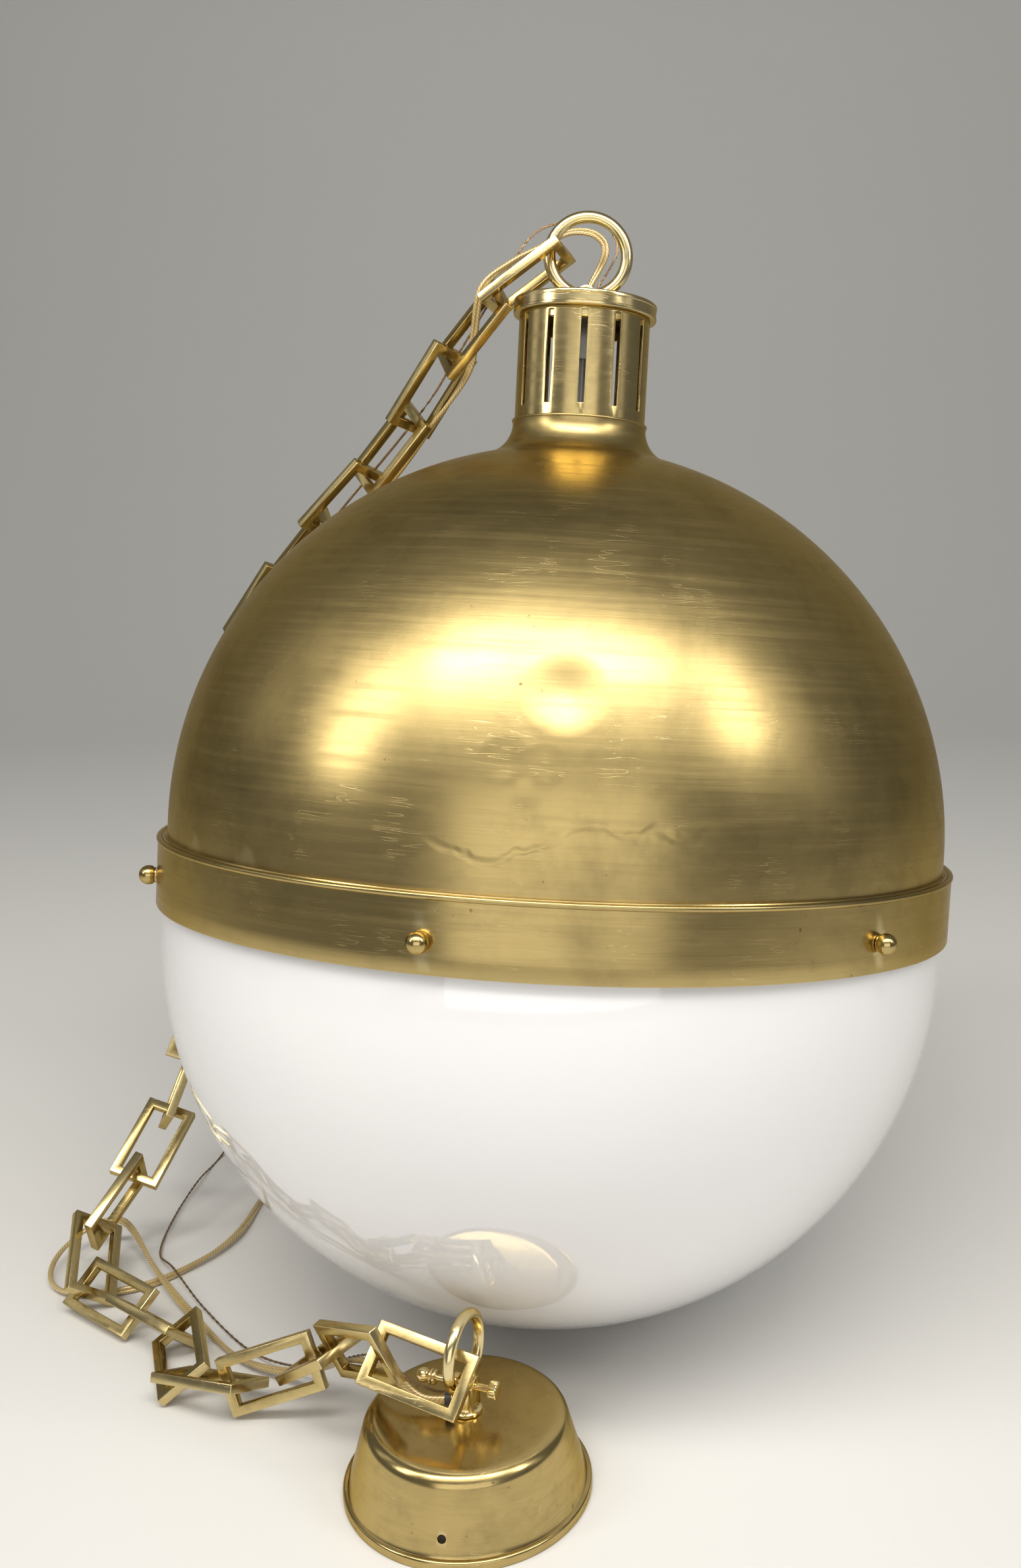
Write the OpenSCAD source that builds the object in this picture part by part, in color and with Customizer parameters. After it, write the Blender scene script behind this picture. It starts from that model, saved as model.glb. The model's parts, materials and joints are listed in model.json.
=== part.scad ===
// Globe chandelier: a spun brass dome over an opal glass bowl, with its chain, cord and ceiling canopy.
// It stands on its glass bowl and leans back, its chain slumped behind it and the canopy in front.
// The origin is the centre of the canopy's ceiling face, +Z is up and -Y faces the viewer.

/* [Pose] */
// How far the lamp leans away from the viewer, in degrees
lean_back = 10; // [0:0.5:12]
// How far the lamp leans to the right, in degrees
lean_right = 3.7; // [0:0.1:6]
// Where the glass bowl touches the floor, to the right of the canopy
lamp_x = 47; // [30:1:80]
// Where the glass bowl touches the floor, behind the canopy
lamp_y = 222; // [215:1:260]

/* [Band] */
// Outer diameter of the equator band
band_d = 508; // [480:1:520]
// Height of the equator band
band_h = 42; // [36:1:60]
// Sheet thickness of the equator band
band_wall = 1.6; // [1:0.1:3]
// Thickness of the rolled bead on the band's top edge
bead_d = 3.6; // [2:0.2:6]
// Number of glass screws round the band
screw_count = 6; // [3:1:12]
// Height of the glass screws above the band's lower edge
screw_z = 17; // [12:1:20]
// Turn of the first glass screw from the facing side, in degrees
screw_turn = -75; // [-90:1:0]
// Diameter of a glass screw's ball head
ball_d = 12; // [6:0.5:14]
// Height of a ball head's centre above its flat seat
ball_seat = 4.3; // [3:0.1:6]
// Diameter of a glass screw's shank
shank_d = 4.9; // [3:0.1:6]
// Width across the flats of the nuts behind the band
band_nut_af = 9; // [8:0.5:12]

/* [Dome] */
// Gap from the band's outer face in to the dome
dome_step = 5.5; // [4:0.5:10]
// Sheet thickness of the dome
dome_wall = 0.8; // [0.6:0.1:2]
// Height of the dome's centre above the band's lower edge
dome_rise = 50; // [44:1:60]
// Height of the dome's lower edge above the band's lower edge
skirt_z = 36; // [34:1:38]
// Radius of the flare between dome and collar
flare_r = 22; // [12:1:40]
// Straight lip above the flare
lip_h = 2; // [1:0.5:6]

/* [Collar and cap] */
// Outer diameter of the slotted collar
collar_d = 84; // [70:1:100]
// Sheet thickness of the collar
collar_wall = 1.5; // [1:0.1:3]
// Length of the collar
collar_h = 74; // [66:1:90]
// Depth of the collar's lower end inside the flare
collar_sink = 6; // [2:1:10]
// Number of slots in the collar
slot_count = 12; // [6:1:16]
// Width of a slot
slot_w = 4; // [2:0.5:8]
// Length of a slot
slot_h = 57; // [30:1:60]
// Solid ring left above the slots
slot_margin = 2; // [1:0.5:6]
// Diameter of the cap
cap_d = 92; // [86:1:110]
// Thickness of the cap
cap_h = 10; // [8:0.5:16]
// Thickness of the cap's top plate
cap_plate = 4; // [3:0.5:6]
// Depth of the cap's spigot in the collar
spigot_h = 6; // [3:0.5:10]
// How far the cord hole lies behind the lamp's axis
cord_offset = 20; // [17:1:26]

/* [Hanging ring] */
// Outer diameter of the lamp's ring
ring_d = 57.4; // [50:0.2:70]
// Thickness of the lamp's ring
ring_bar = 7.8; // [5:0.2:10]
// Gap under the ring
ring_gap = 0.9; // [0.6:0.1:3]
// Diameter of the cross pins
pin_d = 4; // [3:0.5:5]
// Thickness of a yoke's ears
ear_t = 3; // [2:0.5:5]
// Radius of a yoke's ears round the pin
ear_r = 5.5; // [4:0.5:8]
// Diameter of the yoke stems
stem_d = 10; // [8:0.5:12]

/* [Glass bowl] */
// Gap from the band's outer face in to the glass bowl
glass_step = 4; // [3:0.5:8]
// Wall of the glass bowl
glass_wall = 7; // [4:0.5:9]
// Depth of the bowl's centre below the band's lower edge
glass_drop = 16; // [12:1:24]
// Gap between the band and the bowl's straight neck
neck_gap = 3; // [2:0.2:6]
// Height of the neck's rim above the band's lower edge
neck_z = 32; // [28:1:33]

/* [Light cluster] */
// Outer diameter of the centre pipe
pipe_d = 10; // [8:0.5:12]
// Bore of the centre pipe
pipe_bore = 7; // [4:0.5:8]
// Diameter of the wiring box
box_d = 60; // [50:1:80]
// Height of the wiring box
box_h = 35; // [30:1:50]
// Height of the wiring box above the band's lower edge
box_z = 165; // [150:1:180]
// Wall of the wiring box
box_wall = 2; // [1.5:0.5:3]
// Outward tilt of the lampholders from straight down, in degrees
tilt = 40; // [30:1:50]
// Distance from the wiring box's centre to a lampholder's back
holder_reach = 26; // [26:1:34]
// Outer diameter of a lampholder
holder_d = 31.2; // [30:0.2:36]
// Length of a lampholder
holder_h = 36; // [30:1:42]
// Wall of a lampholder
holder_wall = 1.4; // [1:0.1:2]
// Diameter of a bulb
bulb_d = 60; // [45:1:70]
// Length of a bulb with its base
bulb_h = 106; // [90:1:120]
// Diameter of a bulb's screw base
base_d = 26; // [24:0.5:27]
// Wall of the bulb's glass and base
bulb_wall = 1; // [0.6:0.1:1.4]

/* [Canopy] */
// Outer diameter of the canopy's rim
canopy_d = 140; // [120:1:160]
// Height of the canopy
canopy_h = 47; // [40:1:60]
// Sheet thickness of the canopy
canopy_wall = 3; // [1.5:0.1:3]
// Height of the canopy's rim
rim_h = 6; // [4:0.5:10]
// Step from the rim in to the wall
rim_step = 3; // [2:0.5:6]
// Radius where the shoulder's rounding begins
shoulder_r = 49; // [40:1:54]
// Rounding of the shoulder
shoulder_round = 9; // [4:1:14]
// Height of the side screws above the ceiling face
side_z = 16; // [12:1:20]
// Turn of the side screws from the facing side, in degrees
side_turn = -8; // [-30:1:30]
// Diameter of the side screws
side_d = 4.8; // [4:0.2:6]
// Outer diameter of the canopy's ring
canopy_ring_d = 47; // [44:0.5:56]
// Thickness of the canopy's ring
canopy_ring_bar = 6.5; // [5:0.5:8]
// Turn of the canopy's cross pin from the X axis, in degrees
pin_turn = -20; // [-40:1:20]
// Height of the canopy's cross pin above the ceiling face
canopy_pin_z = 64; // [62:1:70]
// Width of the ceiling crossbar
bar_w = 26; // [20:1:30]
// Thickness of the ceiling crossbar
bar_t = 2.5; // [1.5:0.5:4]
// Height of the ceiling crossbar above the ceiling face
bar_z = 24; // [22:1:28]
// Distance from the crossbar's centre to the middle of a slot
bar_slot_x = 41; // [34:1:44]
// Length of a crossbar slot
bar_slot_l = 18; // [10:1:20]
// Width of a crossbar slot
bar_slot_w = 5; // [4:0.5:6]

/* [Chain and leads] */
// Outer length of a chain link
link_l = 62; // [58:0.5:66]
// Outer width of a chain link
link_w = 36; // [32:0.5:40]
// Thickness of the square link wire
link_bar = 6; // [4:0.5:7]
// Diameter of the lamp cord
cord_d = 5.3; // [4:0.1:6]
// Diameter of the bare ground wire
wire_d = 1.8; // [1:0.1:3]

/* [Clearances] */
// Radial clearance of a running pin, bore or screw
run = 0.05; // [0.02:0.01:0.1]
// Gap between pieces that move past each other
gap = 0.3; // [0.3:0.05:0.6]

/* [Hidden] */
$fn = 96;

// Derived sizes of the globe, measured up the lamp's axis from the band's lower edge
band_r = band_d / 2;
band_inner_r = band_r - band_wall;
dome_r = band_r - dome_step;
dome_inner_r = dome_r - dome_wall;
collar_r = collar_d / 2;
flare_x = collar_r + flare_r + dome_wall;
flare_z = dome_rise + sqrt(pow(dome_r + flare_r, 2) - pow(flare_x, 2));
flare_angle = atan2(flare_z - dome_rise, flare_x);
collar_z = flare_z - collar_sink;
cap_z = collar_z + collar_h;
cap_top = cap_z + cap_h;
cap_r = cap_d / 2;
glass_r = band_r - glass_step;
neck_r = band_inner_r - neck_gap;
neck_join = sqrt(pow(glass_r, 2) - pow(neck_r, 2)) - glass_drop;
shank_in = neck_r + gap;
nut_h = band_inner_r - neck_r - gap - 0.25;

// Derived sizes of the lamp's ring and its yoke
ring_mean = (ring_d - ring_bar) / 2;
pin_z = cap_top + ring_bar / 2 + ring_gap;
ring_z = pin_z + ring_mean;
seat_r = ring_bar / 2 + gap + ear_t + 2;
seat_h = 3;
coupling_h = 26;
coupling_z = cap_z - coupling_h;
coupling_mid = coupling_z + coupling_h / 2;
bushing_h = 6;
bushing_lip = 2.5;
bushing_r = cord_d / 2 + 1.2;

// Derived sizes inside the globe
spider_t = 3;
spider_z = flare_z - collar_sink - 21;
spider_reach = sqrt(pow(dome_inner_r, 2) - pow(spider_z + spider_t - dome_rise, 2)) - gap;
nut_t = 6;
cover_t = 3;
hub = [22, 21];
holder_r = holder_d / 2;
holder_bore = holder_r - holder_wall;
core_t = 4.8;
bulb_tip = holder_reach + 2 + core_t + 1;
bulb_neck = bulb_tip + 27;
bulb_centre = bulb_tip + bulb_h - bulb_d / 2;

// Derived sizes of the canopy
canopy_r = canopy_d / 2;
foot_r = canopy_r - rim_step;
canopy_ring_mean = (canopy_ring_d - canopy_ring_bar) / 2;
canopy_ring_z = canopy_pin_z + canopy_ring_mean;
yoke_r = 6.5;
yoke_top = canopy_pin_z - canopy_ring_bar / 2 - ring_gap;
yoke_foot = canopy_h + gap;
canopy_gland_z = yoke_foot + 7;
wall_r_at_bar = wall_radius(bar_z + bar_t);
tab_r = wall_r_at_bar - canopy_wall - 2;
tab_h = 14;
washer_t = 1.2;

// Spacing of the chain's joints where it hangs taut
taut = link_l - 2 * link_bar - 1.3;

// The way the chain is laid: each row is where a link's far end points to, its turn and its spacing
CHAIN_START = [55, 293, 680];
CHAIN = [
    [15, 297, 652, 20, taut], [-13, 306, 620, 135, taut], [-45, 315, 575, 35, taut],
    [-75, 320, 540, 130, taut], [-110, 330, 505, 35, taut], [-145, 340, 465, 135, taut],
    [-170, 350, 430, 35, taut], [-190, 360, 385, 150, taut], [-200, 370, 335, 50, taut],
    [-200, 380, 290, 110, taut], [-202, 385, 240, 45, taut], [-210, 375, 195, 120, taut],
    [-215, 355, 150, 30, taut], [-230, 325, 110, 140, taut], [-240, 290, 80, 55, taut],
    [-258, 244, 50, 160, taut], [-275, 213, 32, 70, taut], [-265, 172, 14, 140, 45],
    [-233, 153, 15, 35, 42], [-194, 123, 15, 135, 48], [-179, 77, 14, 35, 44],
    [-140, 62, 21, -25, 42], [-100, 60, 37, 75, 46], [-75, 32, 65, 10, 46],
    [-47, 2, 81, 105, 45], [-2, -18, 75, 45, 49]
];

// The cord's way from the lamp's cap, down behind the globe, over the floor and into the canopy
CORD = [
    lamp_point([0, cord_offset, cap_top - cap_plate]), lamp_point([0, cord_offset, cap_top + 10]),
    [86, 323, 682], [80, 326, 694], [64, 325, 696], [46, 320, 688], [24, 310, 676], [6, 299, 660],
    [0, 303, 632], [-5, 305, 607], [-35, 314, 568], [-67, 321, 530], [-132, 338, 461],
    [-155, 352, 425], [-166, 372, 370],
    [-164, 386, 260], [-155, 388, 90], [-163, 366, 22], [-178, 325, 4], [-190, 255, 4],
    [-230, 203, 3], [-275, 189, 3], [-300, 200, 4], [-306, 226, 8], [-292, 252, 15],
    [-265, 254, 20], [-230, 206, 10], [-196, 162, 5], [-155, 115, 4], [-118, 90, 10],
    [-93, 72, 26], [-78, 50, 44], [-60, 32, 57], [-40, 12, 59], [-24, 1, canopy_gland_z],
    [-8, 0, canopy_gland_z]
];

// The ground wire's way from the lamp's cap to the canopy's yoke
WIRE = [
    lamp_point([6, cord_offset, cap_top]), lamp_point([6, cord_offset, cap_top + 12]),
    [94, 326, 684], [84, 332, 702], [60, 332, 703], [36, 325, 692], [10, 313, 652], [-15, 317, 615],
    [-43, 326, 577], [-140, 351, 470], [-165, 366, 432], [-174, 395, 300], [-205, 415, 60],
    [-224, 397, 5], [-235, 343, 3], [-240, 287, 2], [-237, 240, 3], [-220, 212, 8],
    [-188, 168, 4], [-148, 122, 3], [-112, 95, 10], [-87, 77, 26], [-55, 36, 58],
    [-34, 21, 53], [-17, 9, 53], [-5.5, 3, canopy_gland_z + 4]
];

function unit(v) = v / norm(v);

// A point on the lamp, carried to where the leaning lamp stands
function lamp_point(p) =
    let (y = p.y * cos(lean_back) + (p.z + glass_drop) * sin(lean_back))
    let (z = -p.y * sin(lean_back) + (p.z + glass_drop) * cos(lean_back))
    [lamp_x + p.x * cos(lean_right) + z * sin(lean_right),
     lamp_y + y,
     glass_r - p.x * sin(lean_right) + z * cos(lean_right)];

// Outer radius of the canopy's sloping wall at a height
function wall_tangent() =
    let (d = [foot_r - shoulder_r, rim_h - canopy_h + shoulder_round])
    let (a = atan2(d.y, d.x) + acos(shoulder_round / norm(d)))
    [shoulder_r + shoulder_round * cos(a), canopy_h - shoulder_round + shoulder_round * sin(a)];
function wall_radius(z) =
    let (t = wall_tangent())
    foot_r + (t.x - foot_r) * (z - rim_h) / (t.y - rim_h);

// The chain's joint number i, one spacing from the last one towards its row's point
function chain_joint(i) =
    i == 0 ? CHAIN_START
    : let (p = chain_joint(i - 1), row = CHAIN[i - 1])
      p + row[4] * unit([row[0], row[1], row[2]] - p);

// A smooth curve through the points, with a number of steps from each point to the next
function curve(p, steps) = concat(
    [for (i = [0:len(p) - 2], k = [0:steps - 1])
        let (a = p[max(i - 1, 0)], b = p[i], c = p[i + 1], d = p[min(i + 2, len(p) - 1)], t = k / steps)
        0.5 * (2 * b + (c - a) * t + (2 * a - 5 * b + 4 * c - d) * t * t
            + (3 * b - a - 3 * c + d) * t * t * t)],
    [p[len(p) - 1]]);
function heading(p, i) = unit(p[min(i + 1, len(p) - 1)] - p[max(i - 1, 0)]);
function side(p, i) =
    i == 0 ? unit(cross(heading(p, 0), [1, 0, 0]))
    : let (t = heading(p, i), s = side(p, i - 1))
      unit(s - t * (s * t));
function tube_ring(p, i, r, sides) =
    let (t = heading(p, i), s = side(p, i), b = cross(t, s))
    [for (k = [0:sides - 1]) p[i] + r * (cos(360 * k / sides) * s + sin(360 * k / sides) * b)];

// Helpers
module on_lamp() {
    translate([lamp_x, lamp_y, glass_r]) rotate([-lean_back, lean_right, 0])
        translate([0, 0, glass_drop]) children();
}
module on_holder(i) {
    rotate([0, 0, 120 * i - 30]) translate([hub.x, 0, box_z + hub.y]) rotate([0, 180 - tilt, 0]) children();
}
module on_pin() {
    rotate([0, 0, pin_turn]) translate([0, 0, canopy_pin_z]) rotate([0, 90, 0]) children();
}
module pipe(r, bore, h) {
    difference() {
        cylinder(r = r, h = h);
        translate([0, 0, -1]) cylinder(r = bore, h = h + 2);
    }
}
module hex_nut(af, bore, h) {
    difference() {
        cylinder(r = af / sqrt(3), h = h, $fn = 6);
        translate([0, 0, -1]) cylinder(r = bore, h = h + 2);
    }
}
module wedge(c, reach, a, b) {
    polygon(concat([c], [for (k = [0:4]) c + reach * [cos(a + (b - a) * k / 4), sin(a + (b - a) * k / 4)]]));
}
module arc_wall(c, outer, wall, a, b) {
    intersection() {
        translate(c) difference() {
            circle(outer);
            circle(outer - wall);
        }
        wedge(c, outer * 2, a, b);
    }
}
module tube(points, d, sides) {
    n = len(points);
    rings = [for (i = [0:n - 1]) each tube_ring(points, i, d / 2, sides)];
    skin = [for (i = [0:n - 2], k = [0:sides - 1])
        let (a = i * sides + k, b = i * sides + (k + 1) % sides)
        each [[a, a + sides, b], [b, a + sides, b + sides]]];
    ends = [for (k = [1:sides - 2]) each [[0, k, k + 1],
        [(n - 1) * sides, (n - 1) * sides + k + 1, (n - 1) * sides + k]]];
    polyhedron(points = rings, faces = concat(skin, ends));
}
module link() {
    difference() {
        cube([link_l, link_w, link_bar], center = true);
        cube([link_l - 2 * link_bar, link_w - 2 * link_bar, link_bar + 2], center = true);
    }
}
module chain_run(first, last) {
    color("darkkhaki") for (i = [first:last]) {
        a = chain_joint(i - 1);
        b = chain_joint(i);
        d = unit(b - a);
        translate((a + b) / 2) rotate([CHAIN[i - 1][3], -asin(d.z), atan2(d.y, d.x)]) link();
    }
}

// The globe's shell
module dome_shell() {
    color("darkgoldenrod") on_lamp() rotate_extrude() {
        arc_wall([0, dome_rise], dome_r, dome_wall, 0, flare_angle);
        arc_wall([flare_x, flare_z], flare_r + dome_wall, dome_wall, 180, 180 + flare_angle);
        translate([dome_inner_r, skirt_z]) square([dome_wall, dome_rise - skirt_z]);
        translate([collar_r, flare_z]) square([dome_wall, lip_h]);
    }
}
module screw_places() {
    for (i = [1:screw_count]) screw_place(i) children();
}
module screw_place(i) {
    rotate([0, 0, screw_turn - 90 + 360 * (i - 1) / screw_count])
        translate([0, 0, screw_z]) rotate([0, 90, 0]) children();
}
module equator_band() {
    color("goldenrod") on_lamp() difference() {
        rotate_extrude() {
            translate([band_inner_r, 0]) square([band_wall, band_h]);
            translate([dome_r, band_h - band_wall]) square([dome_step, band_wall]);
            translate([band_r - bead_d / 4, band_h - bead_d / 2]) circle(d = bead_d);
        }
        screw_places() translate([0, 0, band_inner_r - 4]) cylinder(d = shank_d + 2 * run, h = 8);
    }
}
module band_nuts() {
    color("goldenrod") on_lamp() screw_places() translate([0, 0, band_inner_r - nut_h - 0.05])
        rotate([0, 0, 30]) hex_nut(band_nut_af, shank_d / 2 + run, nut_h);
}
module thumb_screw(i) {
    color("gold") on_lamp() screw_place(i) {
        translate([0, 0, shank_in]) cylinder(d = shank_d, h = band_r + gap + ball_seat - shank_in);
        intersection() {
            translate([0, 0, band_r + gap + ball_seat]) sphere(d = ball_d);
            translate([0, 0, band_r + gap]) cylinder(d = 2 * ball_d, h = ball_d);
        }
    }
}
module glass_gasket() {
    color("whitesmoke") on_lamp() translate([0, 0, neck_z + gap])
        pipe(dome_r, neck_r - glass_wall, skirt_z - neck_z - gap);
}
module glass_bowl() {
    color("white") on_lamp() rotate_extrude() difference() {
        union() {
            intersection() {
                translate([0, -glass_drop]) circle(glass_r, $fn = 180);
                translate([0, -glass_drop - glass_r]) square([glass_r, glass_drop + glass_r + neck_join]);
            }
            translate([0, neck_join]) square([neck_r, neck_z - neck_join]);
        }
        intersection() {
            translate([0, -glass_drop]) circle(glass_r - glass_wall, $fn = 180);
            translate([0, -glass_drop - glass_r]) square([glass_r, glass_drop + glass_r + neck_join]);
        }
        translate([0, neck_join - 1]) square([neck_r - glass_wall, neck_z - neck_join + 2]);
    }
}

// The collar, the cap and the hanging ring
module vent_collar() {
    color("goldenrod") on_lamp() translate([0, 0, collar_z]) difference() {
        pipe(collar_r, collar_r - collar_wall, collar_h);
        for (i = [0:slot_count - 1]) rotate([0, 0, 360 * i / slot_count - 90])
            translate([collar_r - collar_wall - 2, -slot_w / 2, collar_h - slot_margin - slot_h])
                cube([collar_wall + 4, slot_w, slot_h]);
    }
}
module neck_cap() {
    spigot_r = collar_r - collar_wall;
    boss_r = seat_r + 2;
    color("goldenrod") on_lamp() difference() {
        union() {
            translate([0, 0, cap_z]) cylinder(r = cap_r - 1, h = cap_h);
            translate([0, 0, cap_z + 1]) cylinder(r = cap_r, h = cap_h - 2);
            translate([0, 0, cap_z - spigot_h]) cylinder(r = spigot_r, h = spigot_h);
        }
        translate([0, 0, cap_z - spigot_h - 1]) difference() {
            cylinder(r = spigot_r - 3, h = spigot_h + 1 + cap_h - cap_plate);
            translate([0, 0, spigot_h + 1]) cylinder(r = boss_r, h = cap_h);
        }
        translate([0, 0, cap_z - 1]) cylinder(d = stem_d, h = cap_h);
        translate([0, 0, cap_top - seat_h]) cylinder(r = seat_r, h = seat_h + 1);
        translate([0, cord_offset, cap_z - 1]) cylinder(r = cord_d / 2 + 2, h = cap_h + 2);
    }
}
module cord_bushing() {
    color("black") on_lamp() translate([0, cord_offset, cap_top]) difference() {
        union() {
            translate([0, 0, -bushing_h]) cylinder(r = cord_d / 2 + 2, h = bushing_h);
            cylinder(r = cord_d / 2 + 4, h = bushing_lip);
        }
        translate([0, 0, -bushing_h - 1]) cylinder(d = cord_d, h = bushing_h + bushing_lip + 2);
        translate([6, 0, -bushing_h - 1]) cylinder(d = wire_d, h = bushing_h + bushing_lip + 2);
    }
}
module ear(r, t, foot, bore) {
    difference() {
        union() {
            cylinder(r = r, h = t);
            translate([0, -r, 0]) cube([foot, 2 * r, t]);
        }
        translate([0, 0, -1]) cylinder(r = bore, h = t + 2);
    }
}
module top_yoke() {
    color("gold") on_lamp() {
        translate([0, 0, cap_top - seat_h]) cylinder(r = seat_r, h = seat_h);
        translate([0, 0, coupling_mid]) cylinder(d = stem_d, h = cap_top - seat_h - coupling_mid);
        for (s = [0, 180]) rotate([0, 0, s]) translate([0, -ring_bar / 2 - gap, pin_z])
            rotate([90, 0, 0]) rotate([0, 0, -90]) ear(ear_r, ear_t, pin_z - cap_top, pin_d / 2);
    }
}
module top_pin() {
    half = ring_bar / 2 + gap + ear_t;
    color("khaki") on_lamp() translate([0, 0, pin_z]) rotate([90, 0, 0]) {
        translate([0, 0, -half]) cylinder(d = pin_d, h = 2 * half);
        translate([0, 0, half]) cylinder(d = pin_d + 3, h = 2);
        translate([0, 0, -half - 1.5]) cylinder(d = pin_d + 2, h = 1.5);
    }
}
module hanging_ring(mean, bar) {
    difference() {
        rotate_extrude() translate([mean, 0]) circle(d = bar);
        translate([0, -mean, -bar]) cylinder(d = pin_d + 2 * run, h = 2 * bar);
    }
}
module top_ring() {
    color("gold") on_lamp() translate([0, 0, ring_z]) rotate([90, 0, 0]) hanging_ring(ring_mean, ring_bar);
}

// The light cluster inside the globe
module pipe_coupling() {
    color("silver") on_lamp() translate([0, 0, coupling_z]) hex_nut(15, stem_d / 2, coupling_h);
}
module centre_pipe() {
    bottom = box_z - cover_t - nut_t - 3;
    color("silver") on_lamp() translate([0, 0, bottom])
        pipe(pipe_d / 2, pipe_bore / 2, coupling_mid - bottom);
}
module dome_spider() {
    color("silver") on_lamp() translate([0, 0, spider_z]) difference() {
        union() {
            cylinder(r = 12, h = spider_t);
            for (a = [-90, 30, 150]) rotate([0, 0, a]) translate([0, -7, 0])
                cube([spider_reach, 14, spider_t]);
        }
        translate([0, 0, -1]) cylinder(d = pipe_d, h = spider_t + 2);
    }
}
module spider_nut() {
    color("silver") on_lamp() translate([0, 0, spider_z - nut_t]) hex_nut(17, pipe_d / 2, nut_t);
}
module cluster_body() {
    color("goldenrod") on_lamp() difference() {
        union() {
            translate([0, 0, box_z]) cylinder(d = box_d, h = box_h);
            for (i = [0:2]) on_holder(i) cylinder(r = 6, h = holder_reach);
        }
        translate([0, 0, box_z - 1]) cylinder(r = box_d / 2 - box_wall, h = box_h - box_wall + 1);
        translate([0, 0, box_z]) cylinder(d = pipe_d, h = box_h + 1);
        translate([0, cord_offset, box_z]) cylinder(d = cord_d, h = box_h + 1);
        for (i = [0:2]) on_holder(i) cylinder(r = 4, h = holder_reach + 1);
    }
}
module cluster_cover() {
    color("goldenrod") on_lamp() translate([0, 0, box_z - cover_t]) pipe(box_d / 2, pipe_d / 2, cover_t);
}
module cluster_locknut() {
    color("silver") on_lamp() translate([0, 0, box_z - cover_t - nut_t]) hex_nut(17, pipe_d / 2, nut_t);
}
module socket_shells() {
    color("gold") on_lamp() for (i = [0:2]) on_holder(i) translate([0, 0, holder_reach]) {
        pipe(holder_r, 4, 2);
        translate([0, 0, 2]) pipe(holder_r, holder_bore, holder_h - 2);
    }
}
module socket_cores() {
    color("ivory") on_lamp() for (i = [0:2]) on_holder(i) translate([0, 0, holder_reach + 2]) {
        cylinder(r = holder_bore, h = core_t);
        translate([0, 0, core_t]) cylinder(r = 3, h = 1 - gap);
    }
}
module bulb_section(inset) {
    c = [0, bulb_centre];
    r = bulb_d / 2 - inset;
    foot = [base_d / 2 - inset, bulb_neck];
    a = atan2(foot.y - c.y, foot.x) + acos(r / norm(foot - c));
    intersection() {
        translate(c) circle(r);
        translate([0, bulb_neck]) square([r, bulb_h]);
    }
    polygon([[0, foot.y], foot, c + r * [cos(a), sin(a)], c]);
}
module bulb_glass(i) {
    color("white") on_lamp() on_holder(i - 1) rotate_extrude() difference() {
        bulb_section(0);
        bulb_section(bulb_wall);
    }
}
module bulb_base(i) {
    color("silver") on_lamp() on_holder(i - 1) {
        translate([0, 0, bulb_tip]) cylinder(r = 5, h = 3);
        translate([0, 0, bulb_tip + 3]) cylinder(d1 = 16, d2 = base_d - 1, h = 3);
        difference() {
            translate([0, 0, bulb_tip + 6]) rotate_extrude() {
                square([base_d / 2 - 0.5, bulb_neck - bulb_tip - 6]);
                for (k = [0:4]) translate([base_d / 2 - 0.9, 2.5 + 3.6 * k]) circle(r = 1);
            }
            translate([0, 0, bulb_tip + 7]) cylinder(r = base_d / 2 - 2.5, h = bulb_h);
        }
    }
}
module inner_lead() {
    color("khaki") on_lamp() translate([0, cord_offset, box_z + box_h - box_wall])
        cylinder(d = cord_d, h = cap_top - cap_plate - box_z - box_h + box_wall);
}

// The cord, the ground wire and the chain
module lamp_cord() {
    color("khaki") tube(curve(CORD, 2), cord_d, 8);
}
module ground_wire() {
    color("tan") tube(curve(WIRE, 1), wire_d, 8);
}

// The canopy
module cup_section(t) {
    touch = wall_tangent();
    slope = unit([foot_r - touch.x, rim_h - touch.y]);
    square([canopy_r - t, rim_h - t]);
    polygon([[0, 0], [foot_r - t, 0], [foot_r - t, rim_h - t], touch + t * [slope.y, -slope.x],
        [shoulder_r, canopy_h - shoulder_round], [0, canopy_h - shoulder_round]]);
    translate([0, rim_h - t]) square([shoulder_r, canopy_h - rim_h]);
    intersection() {
        translate([shoulder_r, canopy_h - shoulder_round]) circle(shoulder_round - t);
        translate([shoulder_r, 0]) square([canopy_r, canopy_h]);
    }
}
module side_places() {
    for (s = [0, 180]) rotate([0, 0, side_turn - 90 + s]) translate([0, 0, side_z])
        rotate([0, 90, 0]) children();
}
module canopy_cup() {
    color("darkgoldenrod") difference() {
        rotate_extrude() difference() {
            cup_section(0);
            cup_section(canopy_wall);
        }
        cylinder(d = stem_d + 2 * run, h = canopy_h + 1);
        side_places() cylinder(d = side_d, h = canopy_r);
    }
}
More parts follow.
